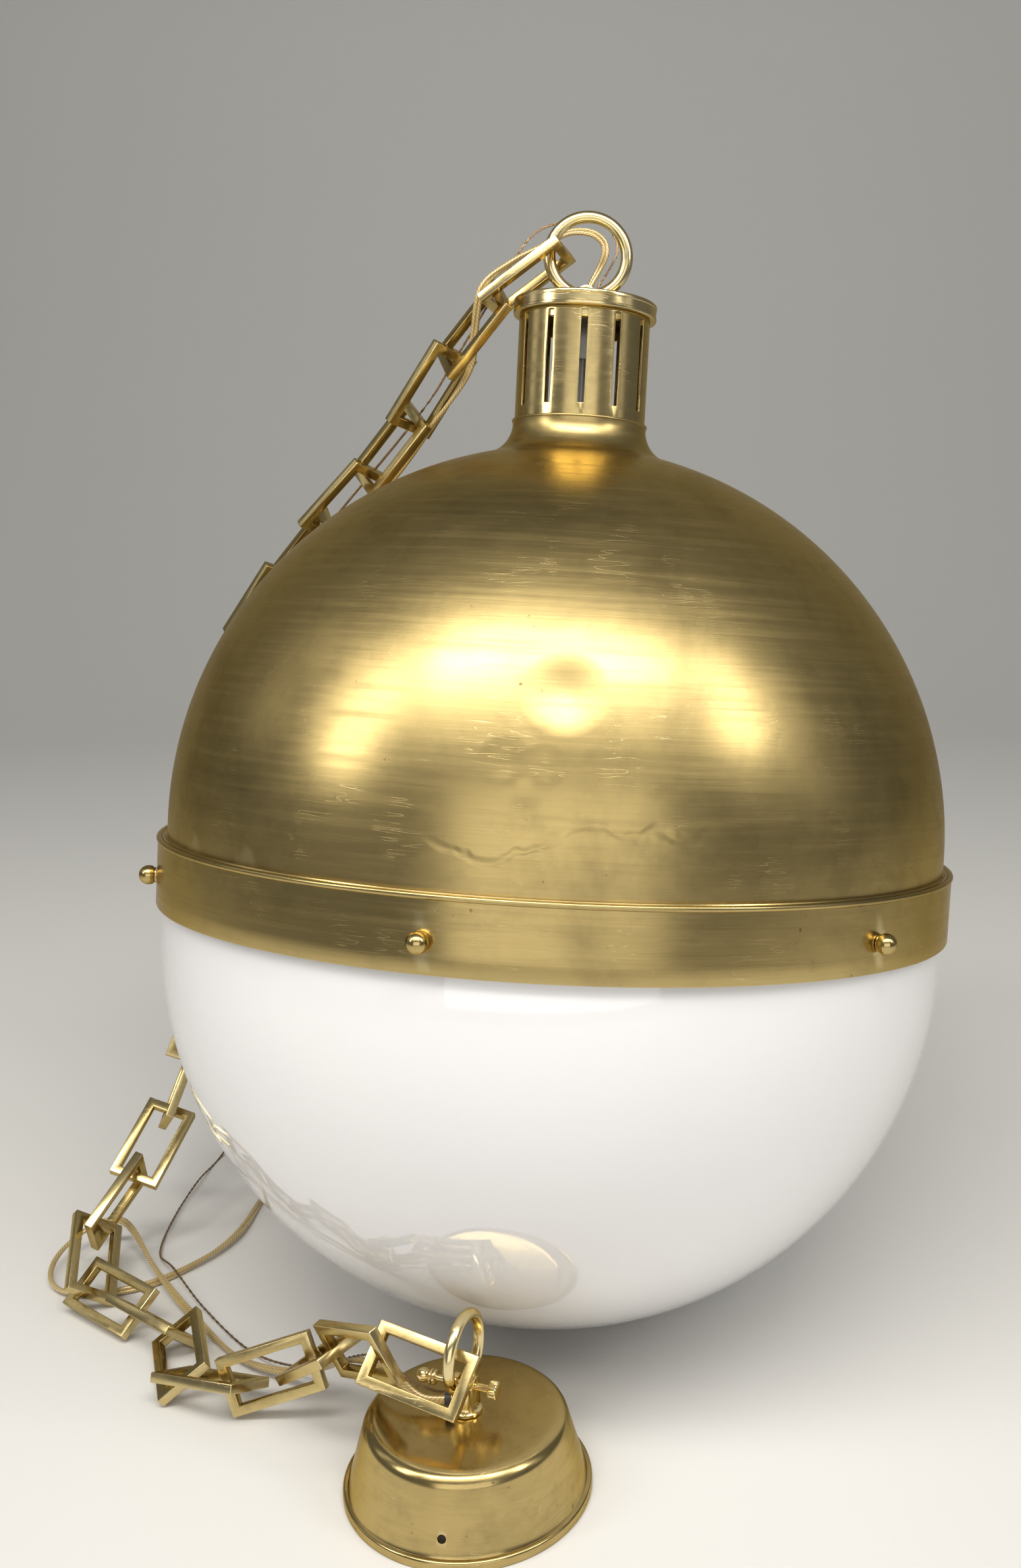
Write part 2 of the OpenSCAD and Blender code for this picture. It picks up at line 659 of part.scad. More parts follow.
module canopy_yoke() {
    half = canopy_ring_bar / 2 + gap;
    stem_bottom = bar_z - gap - washer_t - nut_t - 3;
    color("gold") difference() {
        union() {
            translate([0, 0, stem_bottom]) cylinder(d = stem_d, h = yoke_foot - stem_bottom);
            translate([0, 0, yoke_foot]) cylinder(r = 9, h = 3);
            translate([0, 0, yoke_foot]) cylinder(r = yoke_r, h = yoke_top - yoke_foot);
            rotate([0, 0, pin_turn]) for (s = [0, 180]) rotate([0, 0, s]) translate([half, 0, canopy_pin_z])
                rotate([0, 90, 0]) ear(ear_r, ear_t, canopy_pin_z - yoke_foot, pin_d / 2);
        }
        translate([0, 0, stem_bottom - 1]) cylinder(d = pipe_bore - 1, h = canopy_gland_z - stem_bottom);
        translate([0, 0, canopy_gland_z]) rotate([0, -90, 0]) cylinder(d = cord_d, h = 20);
        translate([-yoke_r, 0, canopy_gland_z]) rotate([0, -90, 0]) cylinder(r = bushing_r, h = 20);
    }
}
module canopy_bushing() {
    color("black") translate([-yoke_r, 0, canopy_gland_z]) rotate([0, -90, 0])
        pipe(bushing_r, cord_d / 2, 5);
}
module canopy_pin() {
    left = 17;
    right = 15;
    color("khaki") on_pin() {
        translate([0, 0, -left]) cylinder(d = pin_d, h = left + right);
        translate([0, 0, -left - 8]) cylinder(r = 4.5, h = 8);
        translate([0, 0, -left - 8]) sphere(r = 4.5);
        translate([0, 0, right]) cylinder(r = 5, h = 5);
    }
}
module canopy_ring() {
    color("gold") rotate([0, 0, pin_turn]) translate([0, 0, canopy_ring_z]) rotate([90, 0, 90])
        hanging_ring(canopy_ring_mean, canopy_ring_bar);
}
module canopy_washer() {
    color("silver") translate([0, 0, bar_z - gap - washer_t]) pipe(11, stem_d / 2, washer_t);
}
module canopy_nut() {
    color("silver") translate([0, 0, bar_z - gap - washer_t - nut_t]) hex_nut(17, stem_d / 2, nut_t);
}
module bar_slot() {
    for (s = [-1, 1]) translate([s * (bar_slot_l - bar_slot_w) / 2, 0, 0])
        cylinder(d = bar_slot_w, h = bar_t + 2);
    translate([-(bar_slot_l - bar_slot_w) / 2, -bar_slot_w / 2, 0])
        cube([bar_slot_l - bar_slot_w, bar_slot_w, bar_t + 2]);
}
module crossbar() {
    color("silver") rotate([0, 0, 90]) difference() {
        union() {
            translate([-tab_r, -bar_w / 2, bar_z]) cube([2 * tab_r, bar_w, bar_t]);
            for (s = [0, 180]) rotate([0, 0, s]) translate([tab_r - bar_t, -bar_w / 2, bar_z - tab_h])
                cube([bar_t, bar_w, tab_h + bar_t]);
        }
        translate([0, 0, bar_z - 1]) cylinder(d = stem_d + 2 * run, h = bar_t + 2);
        for (s = [-1, 1]) translate([s * bar_slot_x, 0, bar_z - 1]) bar_slot();
        for (s = [0, 180]) rotate([0, 0, side_turn + s]) translate([tab_r - bar_t - 3, 0, side_z])
            rotate([0, 90, 0])
            cylinder(d = side_d, h = bar_t + 6);
    }
}
module side_screws() {
    color("dimgray") side_places() translate([0, 0, tab_r - bar_t - 3])
        cylinder(d = side_d, h = wall_radius(side_z) - 0.8 - tab_r + bar_t + 3);
}

dome_shell();
equator_band();
band_nuts();
glass_gasket();
glass_bowl();
for (i = [1:6]) thumb_screw(i);
vent_collar();
neck_cap();
cord_bushing();
top_yoke();
top_pin();
top_ring();
pipe_coupling();
centre_pipe();
dome_spider();
spider_nut();
cluster_body();
cluster_cover();
cluster_locknut();
socket_shells();
socket_cores();
for (i = [1:3]) bulb_glass(i);
for (i = [1:3]) bulb_base(i);
inner_lead();
lamp_cord();
ground_wire();
chain_run(1, 7);  // chain_top_run
chain_run(8, 14);  // chain_back_run
chain_run(15, 20);  // chain_side_run
chain_run(21, 26);  // chain_floor_run
canopy_cup();
canopy_yoke();
canopy_bushing();
canopy_pin();
canopy_ring();
canopy_washer();
canopy_nut();
crossbar();
side_screws();
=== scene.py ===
"""Globe chandelier: a spun brass dome over an opal glass bowl, with its slotted neck, hanging ring,
square-wire chain, gold lead and ceiling canopy. Sizes in the code are millimetres up the lamp's own axis,
measured from the band's lower edge, unless they say otherwise."""

import json
import math

import bmesh
import bpy
from bpy.props import FloatProperty, FloatVectorProperty, IntProperty, PointerProperty
from mathutils import Matrix, Vector


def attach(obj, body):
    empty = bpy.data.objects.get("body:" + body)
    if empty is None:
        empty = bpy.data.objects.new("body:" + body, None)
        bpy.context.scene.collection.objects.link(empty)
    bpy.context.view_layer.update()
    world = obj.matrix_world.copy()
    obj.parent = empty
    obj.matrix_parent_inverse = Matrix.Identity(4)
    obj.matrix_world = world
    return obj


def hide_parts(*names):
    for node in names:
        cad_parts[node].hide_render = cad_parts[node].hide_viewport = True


bl_info = {
    "name": "Globe chandelier",
    "version": (1, 0, 0),
    "blender": (4, 5, 0),
    "location": "3D View > Sidebar > Chandelier",
    "description": "Dresses a globe chandelier with its brass, glass, chain and lead",
    "category": "Object",
}

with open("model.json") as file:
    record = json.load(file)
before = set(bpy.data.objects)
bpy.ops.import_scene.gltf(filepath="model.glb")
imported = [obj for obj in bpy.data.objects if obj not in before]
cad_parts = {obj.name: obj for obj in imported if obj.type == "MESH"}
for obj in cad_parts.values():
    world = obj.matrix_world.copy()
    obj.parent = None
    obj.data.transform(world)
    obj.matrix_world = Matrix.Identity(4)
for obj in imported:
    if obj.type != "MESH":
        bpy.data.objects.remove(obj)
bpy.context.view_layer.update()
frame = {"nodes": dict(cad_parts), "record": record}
MM = 0.001
HERE = Matrix.Identity(4)
UP = Matrix.Rotation(math.radians(90), 4, "X")
ACROSS = Matrix.Rotation(math.radians(90), 4, "Y")

# Where the lamp's bowl stands, in metres, and how deep the bowl's centre lies below the band
FOOT = (0.047, 0.222)
GLASS_DROP = 0.016

# Heights in millimetres: the lamp's pin and ring up its axis, and the canopy's above the floor
PIN_UP, RING_UP = 395.42, 420.22
CANOPY_PIN_UP, CANOPY_RING_UP = 64, 84.25
GLAND_UP = 54.3
SCREW_UP = 17

# Turns in degrees: the canopy's pin, the first glass screw, and the step from screw to screw
PIN_TURN = -20
FIRST_SCREW, SCREW_STEP = -165, 60
SCREWS = 6


# Sizes and colours a user would change
def metres(name, description, default):
    return FloatProperty(name=name, description=description, default=default, unit="LENGTH")


class GlobeSizes(bpy.types.PropertyGroup):
    lean_back: FloatProperty(name="Lean back", description="How far the lamp leans away from the viewer",
                             default=math.radians(10), subtype="ANGLE")
    lean_right: FloatProperty(name="Lean right", description="How far the lamp leans to the right",
                              default=math.radians(3.7), subtype="ANGLE")
    band_radius: metres("Band radius", "Outer radius of the equator band", 0.254)
    band_height: metres("Band height", "Height of the equator band", 0.042)
    dome_radius: metres("Dome radius", "Outer radius of the brass dome", 0.2485)
    glass_radius: metres("Glass radius", "Outer radius of the opal bowl", 0.25)
    collar_radius: metres("Collar radius", "Outer radius of the slotted collar", 0.042)
    cap_radius: metres("Cap radius", "Outer radius of the turned cap", 0.046)


class ChainSizes(bpy.types.PropertyGroup):
    link_length: metres("Link length", "Outer length of a link", 0.062)
    link_width: metres("Link width", "Outer width of a link", 0.036)
    wire: metres("Wire", "Thickness of the square wire", 0.006)
    lead: metres("Lead", "Width of the twin lead", 0.0053)
    twists: IntProperty(name="Twists", description="Turns of the twin lead over its whole length", default=7)


class BrassColours(bpy.types.PropertyGroup):
    gold: FloatVectorProperty(name="Gold", description="Clean aged brass", subtype="COLOR", size=3,
                              default=(0.53, 0.405, 0.17))
    olive: FloatVectorProperty(name="Olive", description="Brass under its brown-green patina",
                               subtype="COLOR", size=3, default=(0.285, 0.218, 0.095))
    # Rubbed is also the colour that pale lightens a whole piece towards, as a painted highlight
    rubbed: FloatVectorProperty(name="Rubbed", description="Brass rubbed bright on the edges",
                                subtype="COLOR", size=3, default=(0.88, 0.75, 0.43))
    tarnish: FloatVectorProperty(name="Tarnish", description="Dark spots of tarnish", subtype="COLOR",
                                 size=3, default=(0.14, 0.10, 0.05))
    gloss: FloatProperty(name="Roughness", description="Mean roughness of the aged brass", default=0.30,
                         min=0.0, max=1.0)


class StageLook(bpy.types.PropertyGroup):
    floor: FloatVectorProperty(name="Floor", description="Colour of the floor and backdrop",
                               subtype="COLOR", size=3, default=(0.72, 0.715, 0.70))
    key: FloatProperty(name="Key light", description="Power of the main lamp in watts", default=12.0, min=0.0)
    world: FloatProperty(name="World", description="Strength of the even light from all round",
                         default=0.16, min=0.0)


# Places
def globe():
    return bpy.context.scene.globe_sizes


def turned_by(degrees):
    return Matrix.Rotation(math.radians(degrees), 4, "Z")


def on_lamp():
    """The lamp's own axes, from the centre of the band's lower edge"""
    g = globe()
    return (Matrix.Translation((*FOOT, g.glass_radius)) @ Matrix.Rotation(g.lean_right, 4, "Y")
            @ Matrix.Rotation(-g.lean_back, 4, "X") @ Matrix.Translation((0, 0, GLASS_DROP)))


def on_ring():
    """The middle of the lamp's hanging ring, standing up across the viewer"""
    return on_lamp() @ Matrix.Translation((0, 0, RING_UP * MM)) @ UP


def on_canopy_pin():
    return turned_by(PIN_TURN) @ Matrix.Translation((0, 0, CANOPY_PIN_UP * MM)) @ ACROSS


def on_canopy_ring():
    return (turned_by(PIN_TURN) @ Matrix.Translation((0, 0, CANOPY_RING_UP * MM))
            @ turned_by(90) @ UP)


def screw_place(number):
    return (on_lamp() @ turned_by(FIRST_SCREW + SCREW_STEP * (number - 1))
            @ Matrix.Translation((0, 0, SCREW_UP * MM)) @ ACROSS)


# Modelling by hand
def let_go():
    if bpy.context.object and bpy.context.object.mode != "OBJECT":
        bpy.ops.object.mode_set(mode="OBJECT")
    bpy.ops.object.select_all(action="DESELECT")


def take(piece):
    let_go()
    piece.select_set(True)
    bpy.context.view_layer.objects.active = piece


def edit(piece):
    take(piece)
    bpy.ops.object.mode_set(mode="EDIT")
    bpy.ops.mesh.select_all(action="DESELECT")


def pick_faces(piece, wanted):
    """Selects the faces whose middle and normal pass a test, with the piece in edit mode"""
    mesh = bmesh.from_edit_mesh(piece.data)
    bpy.ops.mesh.select_mode(type="FACE")
    for face in mesh.faces:
        face.select_set(wanted(face.calc_center_median(), face.normal))
    bmesh.update_edit_mesh(piece.data)


def arc(x, z, radius, start, end, count):
    """Points in millimetres along an arc, its angles in degrees"""
    turns = [math.radians(start + (end - start) * k / count) for k in range(count + 1)]
    return [(x + radius * math.cos(t), z + radius * math.sin(t)) for t in turns]


def trace(name, outline):
    """Draws an outline of (across, up) points from one vertex, and leaves it in edit mode"""
    let_go()
    bpy.ops.mesh.primitive_plane_add(size=MM)
    piece = bpy.context.object
    piece.name = piece.data.name = name
    bpy.ops.object.mode_set(mode="EDIT")
    bpy.ops.mesh.select_mode(type="VERT")
    bpy.ops.mesh.select_all(action="SELECT")
    bpy.ops.mesh.merge(type="CENTER")
    last = (0, 0)
    for number, point in enumerate(outline):
        move = ((point[0] - last[0]) * MM, 0, (point[1] - last[1]) * MM)
        if number:
            bpy.ops.mesh.extrude_vertices_move(TRANSFORM_OT_translate={"value": move})
        else:
            bpy.ops.transform.translate(value=move)
        last = point
    bpy.ops.mesh.select_all(action="SELECT")
    return piece


def clean():
    """Merges doubles and turns every face outwards, in edit mode"""
    bpy.ops.mesh.select_mode(type="VERT")
    bpy.ops.mesh.select_all(action="SELECT")
    bpy.ops.mesh.remove_doubles(threshold=2e-6)
    bpy.ops.mesh.dissolve_degenerate(threshold=1e-6)
    bpy.ops.mesh.select_all(action="SELECT")
    bpy.ops.mesh.normals_make_consistent(inside=False)
    bpy.ops.object.mode_set(mode="OBJECT")


def turned(name, outline, steps=128):
    """Spins an outline round the Z axis; one that doesn't start and end on the axis is closed first"""
    solid = outline[0][0] == 0 and outline[-1][0] == 0
    piece = trace(name, outline if solid else outline + outline[:1])
    bpy.ops.mesh.spin(steps=steps, angle=2 * math.pi, center=(0, 0, 0), axis=(0, 0, 1))
    clean()
    return piece


def plate(name, outline, thickness):
    """A flat plate with that outline in XZ, as thick as it says along Y and centred there"""
    piece = trace(name, outline + outline[:1])
    bpy.ops.mesh.remove_doubles(threshold=2e-6)
    bpy.ops.mesh.edge_face_add()
    bpy.ops.transform.translate(value=(0, -thickness / 2 * MM, 0))
    bpy.ops.mesh.extrude_region_move(TRANSFORM_OT_translate={"value": (0, thickness * MM, 0)})
    clean()
    return piece


def modify(piece, kind, **settings):
    take(piece)
    bpy.ops.object.modifier_add(type=kind)
    modifier = piece.modifiers[-1]
    for key, value in settings.items():
        setattr(modifier, key, value)
    bpy.ops.object.modifier_apply(modifier=modifier.name)


def soften(piece, width, segments=2):
    """Rounds the sharp edges"""
    modify(piece, "BEVEL", width=width * MM, segments=segments, limit_method="ANGLE",
           angle_limit=math.radians(35), harden_normals=False)


def drill(piece, radius, depth, place):
    """Cuts a round hole along the Z axis of a place"""
    let_go()
    bpy.ops.mesh.primitive_cylinder_add(vertices=40, radius=radius * MM, depth=depth * MM)
    cutter = bpy.context.object
    cutter.matrix_world = place
    modify(piece, "BOOLEAN", object=cutter, operation="DIFFERENCE", solver="EXACT")
    bpy.data.objects.remove(cutter, do_unlink=True)


def move(piece, place):
    take(piece)
    piece.matrix_world = place @ piece.matrix_world
    bpy.ops.object.transform_apply(location=True, rotation=True, scale=True)


def copy_of(piece, name):
    take(piece)
    bpy.ops.object.duplicate(linked=False)
    twin = bpy.context.object
    twin.name = twin.data.name = name
    return twin


def joined(first, *others):
    take(first)
    for other in others:
        other.select_set(True)
    bpy.ops.object.join()
    return first


def settle(piece, place, body, finish, replaces=(), smooth=38):
    """Puts a finished piece in its place, on its body and in its finish"""
    move(piece, place)
    take(piece)
    bpy.ops.object.shade_smooth_by_angle(angle=math.radians(smooth))
    piece.data.materials.clear()
    piece.data.materials.append(finish)
    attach(piece, body)
    if replaces:
        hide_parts(*replaces)
    return piece


# Materials
def plug(tree, node, inputs):
    """Links each named input of a node to a socket, or sets it to a value"""
    for key, value in dict(inputs).items():
        if isinstance(value, bpy.types.NodeSocket):
            tree.links.new(value, node.inputs[key])
        else:
            node.inputs[key].default_value = value


def add(tree, kind, inputs=(), **settings):
    new = tree.nodes.new("ShaderNode" + kind)
    for key, value in settings.items():
        setattr(new, key, value)
    plug(tree, new, inputs)
    return new


def sums(tree, operation, *values):
    return add(tree, "Math", enumerate(values), operation=operation).outputs[0]


def ramp(tree, value, low, high, bottom=0.0, top=1.0):
    """Maps a value smoothly from low..high to bottom..top"""
    return add(tree, "MapRange", {"Value": value, "From Min": low, "From Max": high, "To Min": bottom,
                                  "To Max": top}, interpolation_type="SMOOTHSTEP").outputs[0]


def blend_colours(tree, factor, first, second):
    first, second = (v if isinstance(v, bpy.types.NodeSocket) else (*v[:3], 1) for v in (first, second))
    return add(tree, "Mix", {0: factor, 6: first, 7: second}, data_type="RGBA", blend_type="MIX").outputs[2]


def noise(tree, vector, scale, detail=3.0, roughness=0.5, distortion=0.0):
    return add(tree, "TexNoise", {"Vector": vector, "Scale": scale, "Detail": detail, "Roughness": roughness,
                                  "Distortion": distortion}).outputs["Fac"]


def blank(name):
    material = bpy.data.materials.new(name)
    material.use_nodes = True
    tree = material.node_tree
    shader = tree.nodes["Principled BSDF"]
    return material, tree, shader


def own_axes(tree, place):
    """Object coordinates turned back into a piece's own axes, in metres"""
    back = place.inverted()
    where = add(tree, "TexCoord").outputs["Object"]
    return add(tree, "Mapping", {"Vector": where, "Location": back.to_translation(),
                                 "Rotation": back.to_euler("XYZ")}).outputs[0]


def spun_lines(tree, own):
    """Coordinates that run along a turned surface's profile, and hardly change round it"""
    parts = add(tree, "SeparateXYZ", {0: own})
    flat = add(tree, "CombineXYZ", {0: parts.outputs[0], 1: parts.outputs[1]}).outputs[0]
    reach = add(tree, "VectorMath", {0: flat}, operation="LENGTH").outputs["Value"]
    round_ = add(tree, "SeparateXYZ", {0: add(tree, "VectorMath", {0: flat},
                                              operation="NORMALIZE").outputs[0]})
    along = sums(tree, "SUBTRACT", parts.outputs[2], reach)

    def lines(per_metre, turns):
        return add(tree, "CombineXYZ", {0: sums(tree, "MULTIPLY", along, per_metre),
                                        1: sums(tree, "MULTIPLY", round_.outputs[0], turns),
                                        2: sums(tree, "MULTIPLY", round_.outputs[1], turns)}).outputs[0]
    return lines


def aged_brass(name, place=None, patina=0.5, gloss=0.0, line_depth=1.0, dents=(), wear=0.6, grain=9.0,
               pale=0.0):
    """Brass with a brown-green patina, fine lines from the lathe, scratches, spots and rubbed edges; pale
    lightens the whole piece evenly towards rubbed brass, partly as brighter polished brass and partly as a
    painted highlight
    """
    colours = bpy.context.scene.brass_colours
    material, tree, shader = blank(name)
    own = own_axes(tree, place or HERE)
    cloud = noise(tree, own, grain, 5.0, 0.62, 0.4)
    mottle = noise(tree, own, grain * 7, 4.0, 0.6)
    colour = blend_colours(tree, ramp(tree, cloud, 0.62 - patina * 0.4, 0.95 - patina * 0.3),
                           colours.gold, colours.olive)
    colour = blend_colours(tree, ramp(tree, mottle, 0.45, 0.8, 0.0, 0.35), colour, colours.olive)
    if place:
        lines = spun_lines(tree, own)
        fine = noise(tree, lines(1500, 3.0), 1.0, 3.0, 0.7)
        broad = noise(tree, lines(170, 1.6), 1.0, 4.0, 0.6)
    else:
        drawn = add(tree, "Mapping", {"Vector": own, "Scale": (240, 900, 900)}).outputs[0]
        fine = noise(tree, drawn, 1.0, 3.0)
        broad = noise(tree, own, 95.0, 3.0)
    colour = blend_colours(tree, ramp(tree, fine, 0.45, 0.8, 0.0, 0.16), colour, colours.tarnish)
    colour = blend_colours(tree, ramp(tree, broad, 0.45, 0.8, 0.0, 0.26), colour, colours.olive)
    spots = sums(tree, "MULTIPLY", ramp(tree, noise(tree, own, 150.0, 3.0, 0.65), 0.66, 0.74),
                 ramp(tree, mottle, 0.48, 0.62))
    colour = blend_colours(tree, sums(tree, "MULTIPLY", spots, 0.75), colour, colours.tarnish)
    # pale: an even lightening of the whole piece towards rubbed brass, partly polished brass and partly a
    # painted highlight
    colour = blend_colours(tree, pale, colour, colours.rubbed)
    sharp = add(tree, "NewGeometry").outputs["Pointiness"]
    colour = blend_colours(tree, ramp(tree, sharp, 0.51, 0.60, 0.0, wear), colour, colours.rubbed)
    scratch = 0.0
    for turn, size in ((0.5, 1.0), (-0.8, 0.8)):
        laid = add(tree, "Mapping", {"Vector": own, "Rotation": (turn, 0.3, turn * 2),
                                     "Scale": (30 * size, 30 * size, 420 * size)}).outputs[0]
        ridge = sums(tree, "ABSOLUTE", sums(tree, "SUBTRACT", noise(tree, laid, 1.0, 1.0), 0.5))
        thin = sums(tree, "MULTIPLY", ramp(tree, ridge, 0.0, 0.006, 1.0, 0.0),
                    ramp(tree, noise(tree, own, 34.0 * size, 2.0), 0.56, 0.66))
        scratch = sums(tree, "MAXIMUM", thin, scratch)
    colour = blend_colours(tree, sums(tree, "MULTIPLY", scratch, 0.35), colour, colours.rubbed)
    plug(tree, shader, {"Base Color": colour, "Metallic": 1.0, "Specular Tint": (0.72, 0.62, 0.42, 1)})
    rough = sums(tree, "ADD", colours.gloss + gloss - 0.05, sums(tree, "MULTIPLY", cloud, 0.10))
    rough = sums(tree, "ADD", rough, ramp(tree, broad, 0.4, 0.8, -0.03, 0.07))
    rough = sums(tree, "ADD", rough, sums(tree, "MULTIPLY", spots, 0.2))
    plug(tree, shader, {"Roughness": rough})
    relief = add(tree, "Bump", {"Height": fine, "Strength": 1.0, "Distance": 0.000012 * line_depth})
    relief = add(tree, "Bump", {"Height": broad, "Strength": 1.0, "Distance": 0.00005 * line_depth,
                                "Normal": relief.outputs[0]})
    relief = add(tree, "Bump", {"Height": sums(tree, "SUBTRACT", 0.0, scratch), "Strength": 0.5,
                                "Distance": 0.00004, "Normal": relief.outputs[0]})
    for where, width, depth in dents:
        reach = add(tree, "VectorMath", {0: own, 1: [v * MM for v in where]}, operation="DISTANCE")
        hollow = ramp(tree, reach.outputs["Value"], 0.0, width * MM, -1.0, 0.0)
        relief = add(tree, "Bump", {"Height": hollow, "Strength": 1.0, "Distance": depth * MM,
                                    "Normal": relief.outputs[0]})
    plug(tree, shader, {"Normal": relief.outputs[0]})
    return material


def opal_glass(name):
    """White blown glass, glossy outside, with faint smears and the least waviness"""
    material, tree, shader = blank(name)
    own = own_axes(tree, on_lamp())
    cloud = noise(tree, own, 5.0, 3.0)
    smear = noise(tree, add(tree, "Mapping", {"Vector": own, "Scale": (9, 9, 30)}).outputs[0], 1.0, 4.0, 0.6)
    wave = add(tree, "Bump", {"Height": noise(tree, own, 11.0, 1.0), "Strength": 1.0, "Distance": 0.0005})
    plug(tree, shader, {"Base Color": blend_colours(tree, cloud, (0.80, 0.80, 0.83), (0.86, 0.855, 0.86)),
                        "Roughness": ramp(tree, smear, 0.45, 0.75, 0.04, 0.12), "Normal": wave.outputs[0],
                        "Subsurface Weight": 0.25, "Subsurface Radius": (0.02, 0.02, 0.02),
                        "Subsurface Scale": 0.3, "IOR": 1.52, "Coat Weight": 0.6, "Coat Roughness": 0.03})
    return material


def moulded(name, colour, roughness, speckle=0.06, metal=0.0, scale=300.0, depth=0.00002):
    """A plain moulded, cast or plated finish with fine grain and smudges"""
    material, tree, shader = blank(name)
    own = own_axes(tree, HERE)
    grain = noise(tree, own, scale, 4.0, 0.6)
    smudge = noise(tree, own, scale / 9, 3.0)
    dark = [v * (1 - 2.5 * speckle) for v in colour]
    mixed = sums(tree, "ADD", sums(tree, "MULTIPLY", grain, 0.5), sums(tree, "MULTIPLY", smudge, 0.5))
    bump = add(tree, "Bump", {"Height": grain, "Strength": 1.0, "Distance": depth})
    plug(tree, shader, {"Base Color": blend_colours(tree, ramp(tree, mixed, 0.3, 0.7), dark, colour),
                        "Roughness": ramp(tree, smudge, 0.3, 0.75, roughness * 0.8, roughness * 1.3),
                        "Metallic": metal, "Normal": bump.outputs[0]})
    return material


def clear_lead(name):
    """Gold strands under a clear sheath, laid slantwise along the lead's own UV map"""
    material, tree, shader = blank(name)
    place = add(tree, "UVMap").outputs[0]
    parts = add(tree, "SeparateXYZ", {0: place})
    slant = sums(tree, "ADD", sums(tree, "MULTIPLY", parts.outputs[0], 2600.0),
                 sums(tree, "MULTIPLY", parts.outputs[1], 37.7))
    strand = sums(tree, "SINE", slant)
    own = own_axes(tree, HERE)
    cloud = noise(tree, own, 30.0, 4.0)
    colour = blend_colours(tree, ramp(tree, strand, -0.6, 0.9), (0.50, 0.36, 0.14), (0.74, 0.58, 0.28))
    colour = blend_colours(tree, ramp(tree, cloud, 0.45, 0.75, 0.0, 0.45), colour, (0.33, 0.24, 0.11))
    bump = add(tree, "Bump", {"Height": strand, "Strength": 0.4, "Distance": 0.00003})
    plug(tree, shader, {"Base Color": colour, "Roughness": ramp(tree, cloud, 0.3, 0.8, 0.26, 0.42),
                        "Metallic": 0.35, "Coat Weight": 0.9, "Coat Roughness": 0.12,
                        "Normal": bump.outputs[0]})
    return material


def bare_strands(name):
    """Bare copper-coloured strands twisted together"""
    material, tree, shader = blank(name)
    parts = add(tree, "SeparateXYZ", {0: add(tree, "UVMap").outputs[0]})
    strand = sums(tree, "SINE", sums(tree, "ADD", sums(tree, "MULTIPLY", parts.outputs[0], 1600.0),
                                     sums(tree, "MULTIPLY", parts.outputs[1], 37.7)))
    own = own_axes(tree, HERE)
    colour = blend_colours(tree, ramp(tree, strand, -0.9, 0.4), (0.12, 0.075, 0.035), (0.66, 0.46, 0.27))
    colour = blend_colours(tree, ramp(tree, noise(tree, own, 60.0), 0.4, 0.7, 0.0, 0.5), colour,
                           (0.28, 0.20, 0.12))
    bump = add(tree, "Bump", {"Height": strand, "Strength": 1.0, "Distance": 0.00015})
    plug(tree, shader, {"Base Color": colour, "Metallic": 0.9, "Roughness": 0.36, "Normal": bump.outputs[0]})
    return material


def frosted_glass(name):
    material, tree, shader = blank(name)
    own = own_axes(tree, on_lamp())
    cloud = blend_colours(tree, noise(tree, own, 40.0), (0.86, 0.85, 0.82), (0.93, 0.92, 0.90))
    frost = ramp(tree, noise(tree, own, 25.0), 0.3, 0.7, 0.22, 0.34)
    plug(tree, shader, {"Base Color": cloud, "Roughness": frost, "Transmission Weight": 0.35})
    return material


# Cords
LEAD = [(86, 323, 682), (80, 326, 694), (64, 325, 696), (46, 320, 688), (24, 310, 676), (6, 299, 660),
        (0, 303, 632), (-5, 305, 607), (-35, 314, 568), (-67, 321, 530), (-132, 338, 461), (-155, 352, 425),
        (-166, 372, 370), (-164, 386, 260), (-155, 388, 90), (-163, 366, 22), (-178, 325, 4), (-190, 255, 4),
        (-230, 203, 3), (-275, 189, 3), (-300, 200, 4), (-306, 226, 8), (-292, 252, 15), (-265, 254, 20),
        (-230, 206, 10), (-196, 162, 5), (-155, 115, 4), (-118, 90, 10), (-93, 72, 26), (-78, 50, 44),
        (-60, 32, 57), (-40, 12, 59), (-24, 1, GLAND_UP), (-8, 0, GLAND_UP)]
WIRE = [(94, 326, 684), (84, 332, 702), (60, 332, 703), (36, 325, 692), (10, 313, 652), (-15, 317, 615),
        (-43, 326, 577), (-140, 351, 470), (-165, 366, 432), (-174, 395, 300), (-205, 415, 60),
        (-224, 397, 5), (-235, 343, 3), (-240, 287, 2), (-237, 240, 3), (-220, 212, 8), (-188, 168, 4),
        (-148, 122, 3), (-112, 95, 10), (-87, 77, 26), (-55, 36, 58), (-34, 21, 53), (-17, 9, 53),
        (-5.5, 3, GLAND_UP + 4)]


def route(first, rest, steps):
    """A smooth curve in metres through points, the first two of them given on the lamp"""
    points = [on_lamp() @ (Vector(p) * MM) for p in first] + [Vector(p) * MM for p in rest]
    out = []
    for i in range(len(points) - 1):
        a, b, c, d = points[max(i - 1, 0)], points[i], points[i + 1], points[min(i + 2, len(points) - 1)]
        for k in range(steps):
            t = k / steps
            out.append(0.5 * (2 * b + (c - a) * t + (2 * a - 5 * b + 4 * c - d) * t * t
                              + (3 * b - a - 3 * c + d) * t ** 3))
    return out + [points[-1]]


